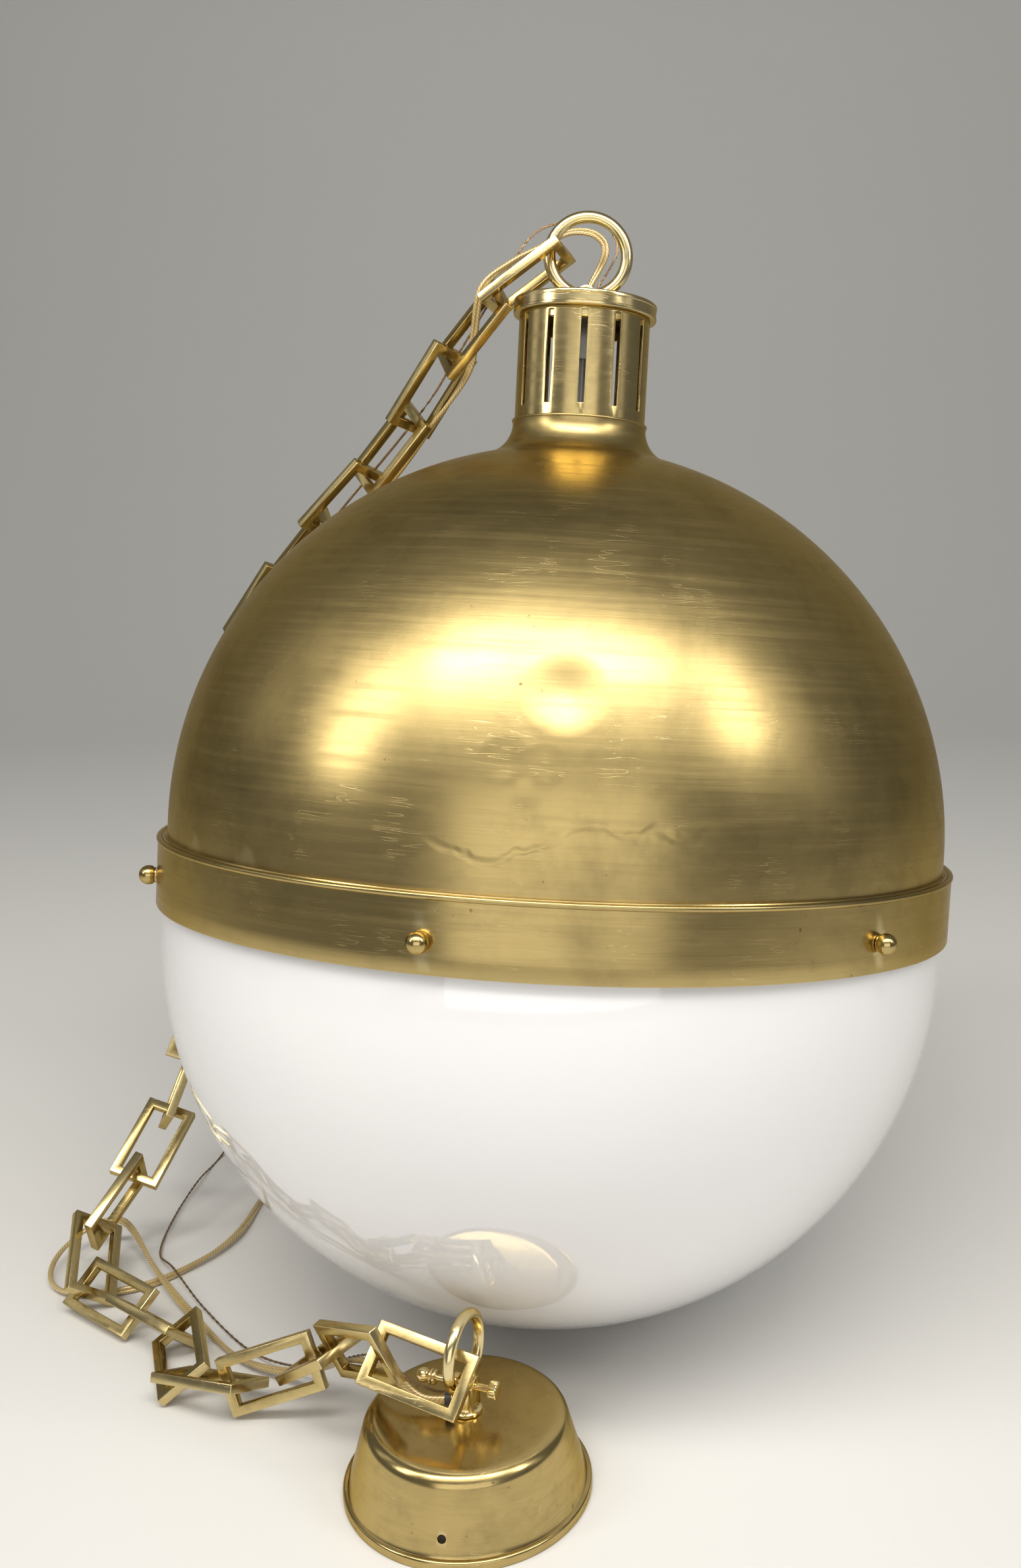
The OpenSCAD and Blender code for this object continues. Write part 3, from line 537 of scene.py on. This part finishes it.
def strand(name, path, section, twists):
    """A tube with that section, a list of (across, up) in metres, swept and twisted along a path"""
    mesh = bmesh.new()
    sheet = mesh.loops.layers.uv.new("UVMap")
    count = len(section)
    total = sum((b - a).length for a, b in zip(path, path[1:]))
    rings, marks, run, side = [], [], 0.0, None
    for i, point in enumerate(path):
        ahead = (path[min(i + 1, len(path) - 1)] - path[max(i - 1, 0)]).normalized()
        side = ahead.cross(Vector((1, 0, 0))) if side is None else side - ahead * side.dot(ahead)
        side.normalize()
        up = ahead.cross(side)
        run += (point - path[i - 1]).length if i else 0.0
        turn = 2 * math.pi * twists * run / total
        across = side * math.cos(turn) + up * math.sin(turn)
        lift = up * math.cos(turn) - side * math.sin(turn)
        rings.append([mesh.verts.new(point + across * x + lift * y) for x, y in section])
        marks.append(run)
    for i in range(len(rings) - 1):
        for k in range(count):
            n = (k + 1) % count
            face = mesh.faces.new((rings[i][k], rings[i][n], rings[i + 1][n], rings[i + 1][k]))
            for loop, u, v in zip(face.loops, (marks[i], marks[i], marks[i + 1], marks[i + 1]),
                                  (k, k + 1, k + 1, k)):
                loop[sheet].uv = (u, v / count)
    mesh.faces.new(reversed(rings[0]))
    mesh.faces.new(rings[-1])
    bmesh.ops.recalc_face_normals(mesh, faces=mesh.faces)
    data = bpy.data.meshes.new(name)
    mesh.to_mesh(data)
    mesh.free()
    piece = bpy.data.objects.new(name, data)
    bpy.context.collection.objects.link(piece)
    return piece


class CHANDELIER_OT_leads(bpy.types.Operator):
    """Lays the twin lead and the bare ground wire from the lamp's cap to the canopy"""
    bl_idname = "chandelier.leads"
    bl_label = "Leads"

    def execute(self, context):
        chain = context.scene.chain_sizes
        wide = chain.lead * 1000
        core, apart = wide * 0.272, wide * 0.228
        section = []
        for k in range(24):
            t = 2 * math.pi * k / 24
            inside = core ** 2 - (apart * math.sin(t)) ** 2
            reach = apart * abs(math.cos(t)) + math.sqrt(max(inside, 0))
            section.append((reach * math.cos(t) * MM, reach * math.sin(t) * MM))
        path = route([(0, 20, 386.5), (0, 20, 400.5)], LEAD, 9)
        lead = strand("lamp_lead", path, section, chain.twists)
        settle(lead, HERE, "lamp", clear_lead("clear lead"), ("lamp_cord",), 60)
        path = route([(6, 20, 390.5), (6, 20, 402.5)], WIRE, 10)
        ring = []
        for k in range(15):
            t = 2 * math.pi * k / 15
            reach = 0.84 + 0.06 * math.cos(5 * t)
            ring.append((reach * math.cos(t) * MM, reach * math.sin(t) * MM))
        wire = strand("ground_lead", path, ring, 90)
        copper = bare_strands("bare strands")
        settle(wire, HERE, "lamp", copper, ("ground_wire",), 70)
        return {"FINISHED"}


# Stage
class CHANDELIER_OT_stage(bpy.types.Operator):
    """Sets up the camera, the pale floor with its backdrop, and the soft studio light"""
    bl_idname = "chandelier.stage"
    bl_label = "Stage"

    def execute(self, context):
        self.camera(context)
        look = context.scene.stage_look
        let_go()
        bpy.ops.mesh.primitive_plane_add(size=9, location=(0, -1.2, 0))
        floor = context.object
        floor.name = "floor"
        edit(floor)
        mesh = bmesh.from_edit_mesh(floor.data)
        bpy.ops.mesh.select_mode(type="EDGE")
        for edge in mesh.edges:
            edge.select_set(all(v.co.y > 4 for v in edge.verts))
        bmesh.update_edit_mesh(floor.data)
        bpy.ops.mesh.extrude_region_move(TRANSFORM_OT_translate={"value": (0, 0, 5)})
        bpy.ops.object.mode_set(mode="OBJECT")
        modify(floor, "BEVEL", width=1.4, segments=16, limit_method="ANGLE")
        take(floor)
        bpy.ops.object.shade_smooth()
        paper, tree, shader = blank("pale paper")
        own = own_axes(tree, HERE)
        pale = tuple(look.floor)
        colour = blend_colours(tree, noise(tree, own, 3.0), pale, [v * 0.985 for v in pale])
        plug(tree, shader, {"Base Color": colour, "Roughness": 0.75})
        floor.data.materials.append(paper)
        self.lamp("key", (0.0, -0.80, 1.97), 2.4, 1.2, look.key * 1.4)
        self.lamp("strip", (0.0, -0.60, 1.93), 2.0, 0.30, look.key * 1.8)
        self.lamp("strip left", (-1.42, -0.47, 1.47), 0.34, 0.95, look.key * 0.66)
        self.lamp("strip right", (1.42, -0.52, 1.56), 0.34, 0.85, look.key * 0.62)
        self.lamp("front", (0.1, -2.7, 1.0), 3.2, 1.7, look.key * 1.85)
        self.lamp("side", (2.2, -0.3, 1.3), 0.5, 1.2, look.key * 0.08)
        self.lamp("rim", (-2.1, 0.5, 1.5), 0.5, 1.2, look.key * 0.10)
        world = bpy.data.worlds.new("even light")
        context.scene.world = world
        world.use_nodes = True
        world.node_tree.nodes["Background"].inputs[0].default_value = (0.98, 0.99, 1.0, 1)
        world.node_tree.nodes["Background"].inputs[1].default_value = look.world
        context.scene.view_settings.view_transform = "Standard"
        return {"FINISHED"}

    def lamp(self, name, place, wide, high, power):
        bpy.ops.object.light_add(type="AREA", location=place)
        lamp = bpy.context.object
        lamp.name = name
        lamp.data.shape = "RECTANGLE"
        lamp.data.size, lamp.data.size_y = wide, high
        lamp.data.energy = power
        lamp.data.color = (1.0, 0.965, 0.90)
        aim = Vector((0.05, 0.2, 0.35)) - Vector(place)
        lamp.rotation_euler = aim.to_track_quat("-Z", "Y").to_euler()

    def camera(self, context):
        bpy.ops.object.camera_add(location=(0.0734, -0.7623, 0.6038))
        camera = context.object
        camera.name = "camera"
        down, roll = 0.252, -0.010
        up = Vector((0, math.sin(down), math.cos(down)))
        right = Vector((1, 0, 0))
        back = Vector((0, -math.cos(down), math.sin(down)))
        across = right * math.cos(roll) + up * math.sin(roll)
        lift = up * math.cos(roll) - right * math.sin(roll)
        camera.rotation_euler = Matrix((across, lift, back)).transposed().to_euler()
        camera.data.sensor_fit = "VERTICAL"
        camera.data.sensor_height = 36
        camera.data.lens = 36.13
        camera.data.shift_x = -0.0516
        camera.data.shift_y = -0.0009
        camera.data.clip_start = 0.02
        context.scene.camera = camera


# The globe
class CHANDELIER_OT_dome(bpy.types.Operator):
    """Spins the brass dome with its flare and the lip round the collar"""
    bl_idname = "chandelier.dome"
    bl_label = "Dome"

    def execute(self, context):
        reach, wall, turn = globe().dome_radius * 1000, 0.8, 22.0
        across = globe().collar_radius * 1000 + turn + wall
        rise = 50 + math.sqrt((reach + turn) ** 2 - across ** 2)
        lean = math.degrees(math.atan2(rise - 50, across))
        edge = across - turn
        outline = [(reach, 36.2)] + arc(0, 50, reach, 0, lean, 60)[:-1]
        outline += arc(across, rise, turn, 180 + lean, 180, 12)[:-1]
        outline += arc(edge - 0.1, rise + 1.1, 0.9, -60, 180, 8)
        outline += arc(across, rise, turn + wall, 180, 180 + lean, 12)[:-1]
        outline += arc(0, 50, reach - wall, lean, 0, 60) + [(reach - wall, 36.0), (reach - 0.2, 36.0)]
        dome = turned("dome", outline, 240)
        dents = [((1, -229, 146), 25, 2.2), ((-28, -241, 110), 15, 0.8), ((-8, -241, 108), 13, 0.6),
                 ((-17, -243, 94), 12, 0.5), ((150, -165, 165), 40, 0.4), ((-95, -200, 150), 60, 0.5)]
        brass = aged_brass("spun dome brass", on_lamp(), 0.5, 0.03, 1.0, dents, 0.3, 8.0)
        self.crease(brass)
        settle(dome, on_lamp(), "lamp", brass, ("dome_shell",))
        return {"FINISHED"}

    def crease(self, brass):
        """A faint wavy crease low on the facing side, which sags under the dents and then runs level"""
        tree = brass.node_tree
        shader = tree.nodes["Principled BSDF"]
        own = own_axes(tree, on_lamp())
        parts = add(tree, "SeparateXYZ", {0: own}).outputs
        sag = ramp(tree, sums(tree, "ABSOLUTE", sums(tree, "ADD", parts[0], 0.034)), 0.0, 0.052, -0.015, 0.0)
        wave = ramp(tree, noise(tree, own, 38.0, 2.0), 0.3, 0.7, -0.0035, 0.0035)
        line = sums(tree, "ADD", sums(tree, "ADD", sag, wave), 0.077)
        away = sums(tree, "ABSOLUTE", sums(tree, "SUBTRACT", parts[2], line))
        fold = ramp(tree, away, 0.0, 0.0038, -1.0, 0.0)
        length = sums(tree, "MULTIPLY", ramp(tree, parts[0], -0.072, -0.050),
                      ramp(tree, parts[0], 0.03, 0.11, 1.0, 0.0))
        facing = sums(tree, "LESS_THAN", parts[1], -0.1)
        fold = sums(tree, "MULTIPLY", fold, sums(tree, "MULTIPLY", length, facing))
        before = shader.inputs["Normal"].links[0].from_socket
        relief = add(tree, "Bump", {"Height": fold, "Strength": 1.0, "Distance": 0.00028, "Normal": before})
        plug(tree, shader, {"Normal": relief.outputs[0]})


class CHANDELIER_OT_band(bpy.types.Operator):
    """Makes the equator band with its rolled bead, and its six holes"""
    bl_idname = "chandelier.band"
    bl_label = "Band"

    def execute(self, context):
        out, high = globe().band_radius * 1000, globe().band_height * 1000
        inner, dome = out - 1.6, globe().dome_radius * 1000
        outline = [(inner, 0.4), (inner + 0.4, 0.0), (out - 0.5, 0.0), (out - 0.15, 0.12), (out, 0.5),
                   (out, 10.0), (out, 24.0), (out, high - 3.6)]
        outline += arc(out - 0.9, high - 1.8, 1.8, -60, 150, 14)
        outline += [(out - 3.0, high - 1.2), (out - 3.7, high - 1.2), (dome + 1.0, high - 1.0),
                    (dome + 0.6, high - 0.1), (dome + 0.05, high - 0.1), (dome + 0.05, high - 1.6),
                    (inner, high - 1.6), (inner, 24.0), (inner, 10.0)]
        band = turned("band", outline, 240)
        for number in range(SCREWS):
            hole = (turned_by(FIRST_SCREW + SCREW_STEP * number)
                    @ Matrix.Translation((out * MM, 0, SCREW_UP * MM)) @ ACROSS)
            drill(band, 2.5, 8, hole)
        brass = aged_brass("band brass", on_lamp(), 0.4, -0.04, 0.8, (), 0.55, 7.0)
        settle(band, on_lamp(), "lamp", brass, ("equator_band",))
        return {"FINISHED"}


class CHANDELIER_OT_glass_screws(bpy.types.Operator):
    """Turns one ball-headed screw and copies it round the band"""
    bl_idname = "chandelier.glass_screws"
    bl_label = "Glass screws"

    def execute(self, context):
        face = globe().band_radius * 1000
        ball = face + 4.6
        outline = [(0, 249.75), (1.9, 249.75), (2.45, 250.3)]
        for turn in range(3):
            outline += [(2.45, 250.6 + turn * 1.0), (2.2, 250.9 + turn * 1.0), (2.2, 251.1 + turn * 1.0),
                        (2.45, 251.4 + turn * 1.0)]
        outline += [(2.45, face + 0.3), (4.6, face + 0.3), (4.9, face + 0.6), (4.9, face + 1.2),
                    (4.5, face + 1.5)]
        outline += arc(0, ball, 6.0, -26, 90, 18)[:-1] + [(0, ball + 6.0)]
        screw = turned("screw", outline, 48)
        brass = aged_brass("screw brass", None, 0.25, -0.08, 0.6, (), 0.8, 60.0)
        for number in range(1, SCREWS + 1):
            twin = copy_of(screw, "ball_screw_%d" % number)
            settle(twin, screw_place(number), "screw_%d" % number, brass,
                   ("thumb_screw_%d" % number,))
        bpy.data.objects.remove(screw, do_unlink=True)
        return {"FINISHED"}


class CHANDELIER_OT_bowl(bpy.types.Operator):
    """Blows the opal bowl with its straight fitter neck"""
    bl_idname = "chandelier.bowl"
    bl_label = "Opal bowl"

    def execute(self, context):
        reach, wall, neck = globe().glass_radius * 1000, 7.0, 249.4
        join = math.degrees(math.asin(math.sqrt(reach ** 2 - neck ** 2) / reach))
        outline = [(0, -16 - reach)] + arc(0, -16, reach, -90, join - 1.5, 64)[1:]
        outline += [(neck, 4.0), (neck, 18.0), (neck, 30.8)] + arc(neck - 1.2, 30.8, 1.2, 0, 90, 4)[1:]
        outline += arc(neck - wall + 1.2, 30.8, 1.2, 90, 180, 4) + [(neck - wall, 18.0), (neck - wall, 4.0)]
        outline += arc(0, -16, reach - wall, join - 2.5, -90, 60)[:-1] + [(0, -16 - reach + wall)]
        bowl = turned("opal_bowl", outline, 240)
        settle(bowl, on_lamp(), "glass", opal_glass("opal glass"), ("glass_bowl",))
        return {"FINISHED"}


class CHANDELIER_OT_collar(bpy.types.Operator):
    """Rolls the slotted collar and turns the cap over it"""
    bl_idname = "chandelier.collar"
    bl_label = "Collar and cap"

    def execute(self, context):
        reach, cap = globe().collar_radius * 1000, globe().cap_radius * 1000
        collar = trace("collar", [(reach, z) for z in (306.6, 312.0, 321.5, 350.0, 378.5, 380.4)])
        bpy.ops.mesh.spin(steps=132, angle=2 * math.pi, center=(0, 0, 0), axis=(0, 0, 1))
        clean()
        edit(collar)

        def in_slot(middle, normal):
            turn = math.degrees(math.atan2(middle.y, middle.x)) % 30
            return min(turn, 30 - turn) < 2.8 and 322 < middle.z * 1000 < 378
        pick_faces(collar, in_slot)
        bpy.ops.mesh.delete(type="FACE")
        bpy.ops.object.mode_set(mode="OBJECT")
        modify(collar, "SOLIDIFY", thickness=1.5 * MM, offset=-1.0, use_even_offset=True)
        soften(collar, 0.22)
        # The last argument lightens the collar a little towards rubbed brass as a painted highlight
        brass = aged_brass("collar brass with painted highlight", on_lamp(), 0.3, -0.07, 0.8, (), 0.7, 14.0, 0.15)
        settle(collar, on_lamp(), "lamp", brass, ("vent_collar",))
        outline = [(9.3, 390.5), (38.6, 390.5), (38.9, 390.2), (39.3, 390.2), (39.6, 390.5)]
        outline += arc(cap - 1.4, 389.1, 1.4, 90, 0, 5) + [(cap, 388.0), (cap - 0.35, 387.6)]
        outline += [(cap - 0.35, 383.2), (cap, 382.8), (cap, 381.6)]
        outline += arc(cap - 1.1, 381.6, 1.1, 0, -90, 4)[1:]
        outline += [(40.45, 380.5), (40.45, 375.0), (40.0, 374.5), (37.6, 374.5), (37.6, 386.4),
                    (11.2, 386.4), (11.2, 380.6), (5.05, 380.6), (5.05, 387.5), (9.3, 387.5)]
        disc = turned("cap", outline, 160)
        drill(disc, 4.66, 30, Matrix.Translation((0, 20 * MM, 388 * MM)))
        # The last argument lightens the cap towards rubbed brass: partly polished brass, partly a painted
        # highlight
        brass = aged_brass("cap brass with painted highlight", on_lamp(), 0.15, -0.08, 0.8, (), 0.7, 20.0, 0.5)
        settle(disc, on_lamp(), "lamp", brass, ("neck_cap",))
        return {"FINISHED"}


# Rings, yokes and pins
def ring_piece(name, mean, bar):
    """A round ring in the XY plane, drilled for its pin at -Y"""
    outline = arc(mean, 0, bar / 2, 0, 360, 28)[:-1]
    ring = turned(name, outline, 144)
    drill(ring, 2.05, bar * 3, Matrix.Translation((0, -mean * MM, 0)))
    return ring


def ear(name, radius, thickness, foot):
    """A round-topped ear: its hole at the origin, its foot below"""
    outline = [(-radius, -foot)] + arc(0, 0, radius, 180, 0, 20) + [(radius, -foot)]
    piece = plate(name, outline, thickness)
    drill(piece, 2.02, thickness * 3, UP)
    soften(piece, 0.35)
    return piece


def ears(foot, apart, place):
    """A pair of ears on either side of a ring, their hole at a place"""
    pair = []
    for side in (-1, 1):
        one = ear("ear", 5.5, 3.0, foot)
        move(one, place @ Matrix.Translation((0, side * apart * MM, 0)))
        pair.append(one)
    return pair


class CHANDELIER_OT_hanging_ring(bpy.types.Operator):
    """Makes the lamp's hanging ring, its yoke and its cross pin"""
    bl_idname = "chandelier.hanging_ring"
    bl_label = "Hanging ring"

    def execute(self, context):
        # The ring's brass is lightened far towards rubbed brass: partly polished brass, partly a painted
        # highlight
        brass = aged_brass("ring brass with painted highlight", None, 0.1, -0.10, 0.5, (), 0.7, 35.0, 0.75)
        settle(ring_piece("hanging_ring", 24.8, 7.8), on_ring(), "hanging_ring", brass,
               ("top_ring",))
        seat = [(0, 387.55), (9.0, 387.55), (9.2, 387.8), (9.2, 389.9), (8.7, 390.5), (0, 390.5)]
        yoke = turned("cap_yoke", seat, 64)
        stem = turned("stem", [(0, 368.0), (4.4, 368.0), (5.0, 368.6), (5.0, 387.6), (0, 387.6)], 48)
        joined(yoke, stem, *ears(5.2, 5.7, Matrix.Translation((0, 0, PIN_UP * MM))))
        settle(yoke, on_lamp(), "lamp", brass, ("top_yoke",))
        pin = [(0, -9.2)] + arc(0, -5.3, 3.9, -80, -40, 6)[1:] + [(3.0, -7.2), (2.0, -7.2), (2.0, 7.2),
                                                                (3.5, 7.2), (3.5, 8.4)]
        pin += arc(0, 5.0, 4.2, 52, 86, 5) + [(0, 9.2)]
        piece = turned("ring_pin", pin, 48)
        slot = plate("slot", [(-4, -0.45), (4, -0.45), (4, 0.45), (-4, 0.45)], 1.2)
        slot.matrix_world = Matrix.Translation((0, 0, 9.0 * MM)) @ UP
        modify(piece, "BOOLEAN", object=slot, operation="DIFFERENCE", solver="EXACT")
        bpy.data.objects.remove(slot, do_unlink=True)
        settle(piece, on_lamp() @ Matrix.Translation((0, 0, PIN_UP * MM)) @ UP, "lamp", brass,
               ("top_pin",))
        return {"FINISHED"}


class CHANDELIER_OT_canopy(bpy.types.Operator):
    """Spins the ceiling canopy with its rolled rim and side screw holes"""
    bl_idname = "chandelier.canopy"
    bl_label = "Canopy"

    def execute(self, context):
        slope = (67.0 - 57.69) / (40.35 - 6.0)
        outline = [(5.05, 47.0), (12.0, 47.0), (30.0, 47.0), (47.0, 47.0)] + arc(49, 38, 9, 90, 15.2, 12)
        outline += [(66.6 - slope * 14, 21.5), (66.75 - slope * 3, 9.6), (66.7, 7.1), (67.2, 6.2),
                    (68.0, 6.0)]
        outline += arc(68.2, 4.2, 1.8, 80, 0, 6) + [(70.0, 2.0)] + arc(68.9, 1.1, 1.1, 0, -90, 4)
        outline += [(68.0, 0.0), (67.0, 0.5), (67.0, 3.0), (64.0, 3.0), (64.0 - slope * 17.2, 21.5)]
        outline += arc(49, 38, 6.0, 15.2, 90, 10) + [(30.0, 44.0), (5.05, 44.0)]
        cup = turned("canopy", outline, 192)
        for turn in (-98, 82):
            drill(cup, 2.4, 30, turned_by(turn) @ Matrix.Translation((62 * MM, 0, 16 * MM)) @ ACROSS)
        brass = aged_brass("canopy brass", HERE, 0.35, -0.08, 0.5,
                           [((-20, -40, 47), 22, 0.2), ((-30, -52, 30), 18, 0.15)], 0.6, 13.0)
        settle(cup, HERE, "canopy", brass, ("canopy_cup",))
        return {"FINISHED"}


class CHANDELIER_OT_canopy_mount(bpy.types.Operator):
    """Turns the canopy's yoke and its cross pin with spool and knurled nut, and makes its ring"""
    bl_idname = "chandelier.canopy_mount"
    bl_label = "Canopy mount"

    def execute(self, context):
        # The ring's brass, with its painted highlight, also finishes the canopy's ring, yoke and pin
        brass = bpy.data.materials["ring brass with painted highlight"]
        settle(ring_piece("canopy_loop", 20.25, 6.5), on_canopy_ring(), "canopy_ring", brass,
               ("canopy_ring",))
        post = [(0, 14.0), (4.5, 14.0), (5.0, 14.6), (5.0, 46.9), (8.4, 47.32), (9.0, 47.9), (9.0, 49.6),
                (8.3, 50.3), (7.3, 50.5), (6.6, 51.4), (6.5, 52.0), (6.5, 58.6), (5.8, 59.8), (0, 59.8)]
        yoke = turned("canopy_post", post, 64)
        drill(yoke, 2.7, 20, Matrix.Translation((-9 * MM, 0, GLAND_UP * MM)) @ ACROSS)
        pin_place = turned_by(PIN_TURN + 90) @ Matrix.Translation((0, 0, CANOPY_PIN_UP * MM))
        joined(yoke, *ears(15.5, 5.05, pin_place))
        settle(yoke, HERE, "lamp", brass, ("canopy_yoke",))
        pin = [(0, -29.5)] + arc(0, -25.2, 4.3, -80, 55, 12)
        pin += [(2.6, -21.2), (4.1, -21.0), (4.4, -20.7), (4.4, -20.0), (4.0, -19.6), (3.2, -19.5),
                (3.2, -19.1), (4.0, -19.0), (4.4, -18.7), (4.4, -17.9), (4.0, -17.4), (3.2, -17.2),
                (2.0, -17.0), (2.0, 15.2), (0, 15.2)]
        spool = turned("canopy_spool", pin, 48)
        nut = turned("nut", [(0, 15.0), (4.2, 15.0), (4.9, 15.6), (4.9, 19.2), (4.3, 19.7), (2.4, 20.0),
                             (0, 20.0)], 48)
        edit(nut)
        mesh = bmesh.from_edit_mesh(nut.data)
        bpy.ops.mesh.select_mode(type="VERT")
        for vert in mesh.verts:
            turn = round(math.degrees(math.atan2(vert.co.y, vert.co.x)) / 7.5)
            vert.select_set(turn % 2 == 0 and math.hypot(vert.co.x, vert.co.y) > 4.6 * MM)
        bmesh.update_edit_mesh(nut.data)
        bpy.ops.transform.resize(value=(0.92, 0.92, 1), center_override=(0, 0, 0))
        bpy.ops.object.mode_set(mode="OBJECT")
        joined(spool, nut)
        settle(spool, on_canopy_pin(), "lamp", brass, ("canopy_pin",), 28)
        return {"FINISHED"}


# The chain
TAUT = 48.7
FIRST = (55, 293, 680)
LAID = [(15, 297, 652, 20, TAUT), (-13, 306, 620, 135, TAUT), (-45, 315, 575, 35, TAUT),
        (-75, 320, 540, 130, TAUT), (-110, 330, 505, 35, TAUT), (-145, 340, 465, 135, TAUT),
        (-170, 350, 430, 35, TAUT), (-190, 360, 385, 150, TAUT), (-200, 370, 335, 50, TAUT),
        (-200, 380, 290, 110, TAUT), (-202, 385, 240, 45, TAUT), (-210, 375, 195, 120, TAUT),
        (-215, 355, 150, 30, TAUT), (-230, 325, 110, 140, TAUT), (-240, 290, 80, 55, TAUT),
        (-258, 244, 50, 160, TAUT), (-275, 213, 32, 70, TAUT), (-265, 172, 14, 140, 45),
        (-233, 153, 15, 35, 42), (-194, 123, 15, 135, 48), (-179, 77, 14, 35, 44), (-140, 62, 21, -25, 42),
        (-100, 60, 37, 75, 46), (-75, 32, 65, 10, 46), (-47, 2, 81, 105, 45), (-2, -18, 75, 45, 49)]
RUNS = [("chain_top_run", 0, 7), ("chain_back_run", 7, 14), ("chain_side_run", 14, 20),
        ("chain_floor_run", 20, 26)]


class CHANDELIER_OT_chain(bpy.types.Operator):
    """Bends one link of square wire and lays its copies from ring to ring"""
    bl_idname = "chandelier.chain"
    bl_label = "Chain"

    def execute(self, context):
        link = self.one_link(context.scene.chain_sizes)
        places, here = [], Vector(FIRST)
        for x, y, z, turn, spacing in LAID:
            ahead = (Vector((x, y, z)) - here).normalized()
            there = here + ahead * spacing
            places.append(Matrix.Translation((here + there) / 2 * MM)
                          @ Matrix.Rotation(math.atan2(ahead.y, ahead.x), 4, "Z")
                          @ Matrix.Rotation(-math.asin(ahead.z), 4, "Y")
                          @ Matrix.Rotation(math.radians(turn), 4, "X"))
            here = there
        brass = aged_brass("chain brass", None, 0.35, -0.06, 0.7, (), 0.9, 45.0)
        for node, start, end in RUNS:
            links = []
            for number in range(start, end):
                twin = copy_of(link, "link")
                move(twin, places[number])
                links.append(twin)
            run = joined(*links)
            run.name = run.data.name = node.replace("run", "links")
            settle(run, HERE, "lamp", brass, (node,), 40)
        bpy.data.objects.remove(link, do_unlink=True)
        return {"FINISHED"}

    def one_link(self, chain):
        let_go()
        bpy.ops.mesh.primitive_plane_add(size=1)
        link = bpy.context.object
        edit(link)
        bpy.ops.mesh.select_all(action="SELECT")
        bpy.ops.transform.resize(value=(chain.link_length, chain.link_width, 1))
        bpy.ops.transform.translate(value=(0, 0, -chain.wire / 2))
        bpy.ops.mesh.select_mode(type="FACE")
        bpy.ops.mesh.inset(thickness=chain.wire, depth=0)
        bpy.ops.mesh.delete(type="FACE")
        bpy.ops.mesh.select_all(action="SELECT")
        bpy.ops.mesh.extrude_region_move(TRANSFORM_OT_translate={"value": (0, 0, chain.wire)})
        clean()
        soften(link, 0.55, 3)
        return link


# What stays as it was drawn
class CHANDELIER_OT_inner_parts(bpy.types.Operator):
    """Gives the pipe, cluster, bulbs, nuts, gasket and crossbar their finishes"""
    bl_idname = "chandelier.inner_parts"
    bl_label = "Inner parts"

    def execute(self, context):
        finishes = {
            "gasket": moulded("gasket rubber", (0.78, 0.76, 0.70), 0.6),
            "bushing": moulded("bushing rubber", (0.035, 0.035, 0.035), 0.5, 0.1),
            "zinc_steel": moulded("zinc plate", (0.58, 0.58, 0.56), 0.32, 0.07, 1.0, 120.0),
            "inner_brass": aged_brass("inner brass", on_lamp(), 0.2, 0.0, 0.8, (), 0.5, 30.0),
            "porcelain": moulded("glazed porcelain", (0.86, 0.83, 0.77), 0.15, 0.03),
            "bulb_glass": frosted_glass("frosted bulb"),
            "bulb_cap": moulded("bulb cap metal", (0.72, 0.70, 0.66), 0.3, 0.08, 1.0, 200.0),
            "dark_steel": moulded("blackened steel", (0.045, 0.035, 0.028), 0.42, 0.2, 0.8, 400.0),
            "cord_sheath": moulded("inner sheath", (0.60, 0.44, 0.19), 0.3, 0.08),
            "band_brass": bpy.data.materials["band brass"],
        }
        replaced = {"dome_shell", "equator_band", "glass_bowl", "vent_collar", "neck_cap", "top_yoke",
                    "top_pin", "top_ring", "lamp_cord", "ground_wire", "canopy_cup", "canopy_yoke",
                    "canopy_pin", "canopy_ring"}
        for part in frame["record"]["subparts"]:
            node, slot = part["node"], part["material_slot"]
            if node in replaced or slot not in finishes:
                continue
            solid = frame["nodes"][node]
            for holder in solid.material_slots:
                holder.material = finishes[slot]
        return {"FINISHED"}


class CHANDELIER_PT_panel(bpy.types.Panel):
    """Lists the chandelier's sizes, colours and steps in the sidebar"""
    bl_idname = "CHANDELIER_PT_panel"
    bl_label = "Globe chandelier"
    bl_space_type = "VIEW_3D"
    bl_region_type = "UI"
    bl_category = "Chandelier"

    def draw(self, context):
        for group in ("globe_sizes", "chain_sizes", "brass_colours", "stage_look"):
            settings = getattr(context.scene, group)
            box = self.layout.box()
            for name in settings.bl_rna.properties.keys():
                if name not in ("rna_type", "name"):
                    box.prop(settings, name)
        for step in STEPS:
            self.layout.operator(step.bl_idname)


GROUPS = {"globe_sizes": GlobeSizes, "chain_sizes": ChainSizes, "brass_colours": BrassColours,
          "stage_look": StageLook}
STEPS = [CHANDELIER_OT_stage, CHANDELIER_OT_leads, CHANDELIER_OT_dome, CHANDELIER_OT_band,
         CHANDELIER_OT_glass_screws, CHANDELIER_OT_bowl, CHANDELIER_OT_collar, CHANDELIER_OT_hanging_ring,
         CHANDELIER_OT_canopy, CHANDELIER_OT_canopy_mount, CHANDELIER_OT_chain, CHANDELIER_OT_inner_parts]


def register():
    for name, group in GROUPS.items():
        bpy.utils.register_class(group)
        setattr(bpy.types.Scene, name, PointerProperty(type=group))
    for step in STEPS:
        bpy.utils.register_class(step)
    bpy.utils.register_class(CHANDELIER_PT_panel)


def unregister():
    bpy.utils.unregister_class(CHANDELIER_PT_panel)
    for step in reversed(STEPS):
        bpy.utils.unregister_class(step)
    for name, group in GROUPS.items():
        delattr(bpy.types.Scene, name)
        bpy.utils.unregister_class(group)


def main():
    register()
    for step in STEPS:
        family, action = step.bl_idname.split(".")
        getattr(getattr(bpy.ops, family), action)()
    let_go()


if __name__ == "__main__":
    main()
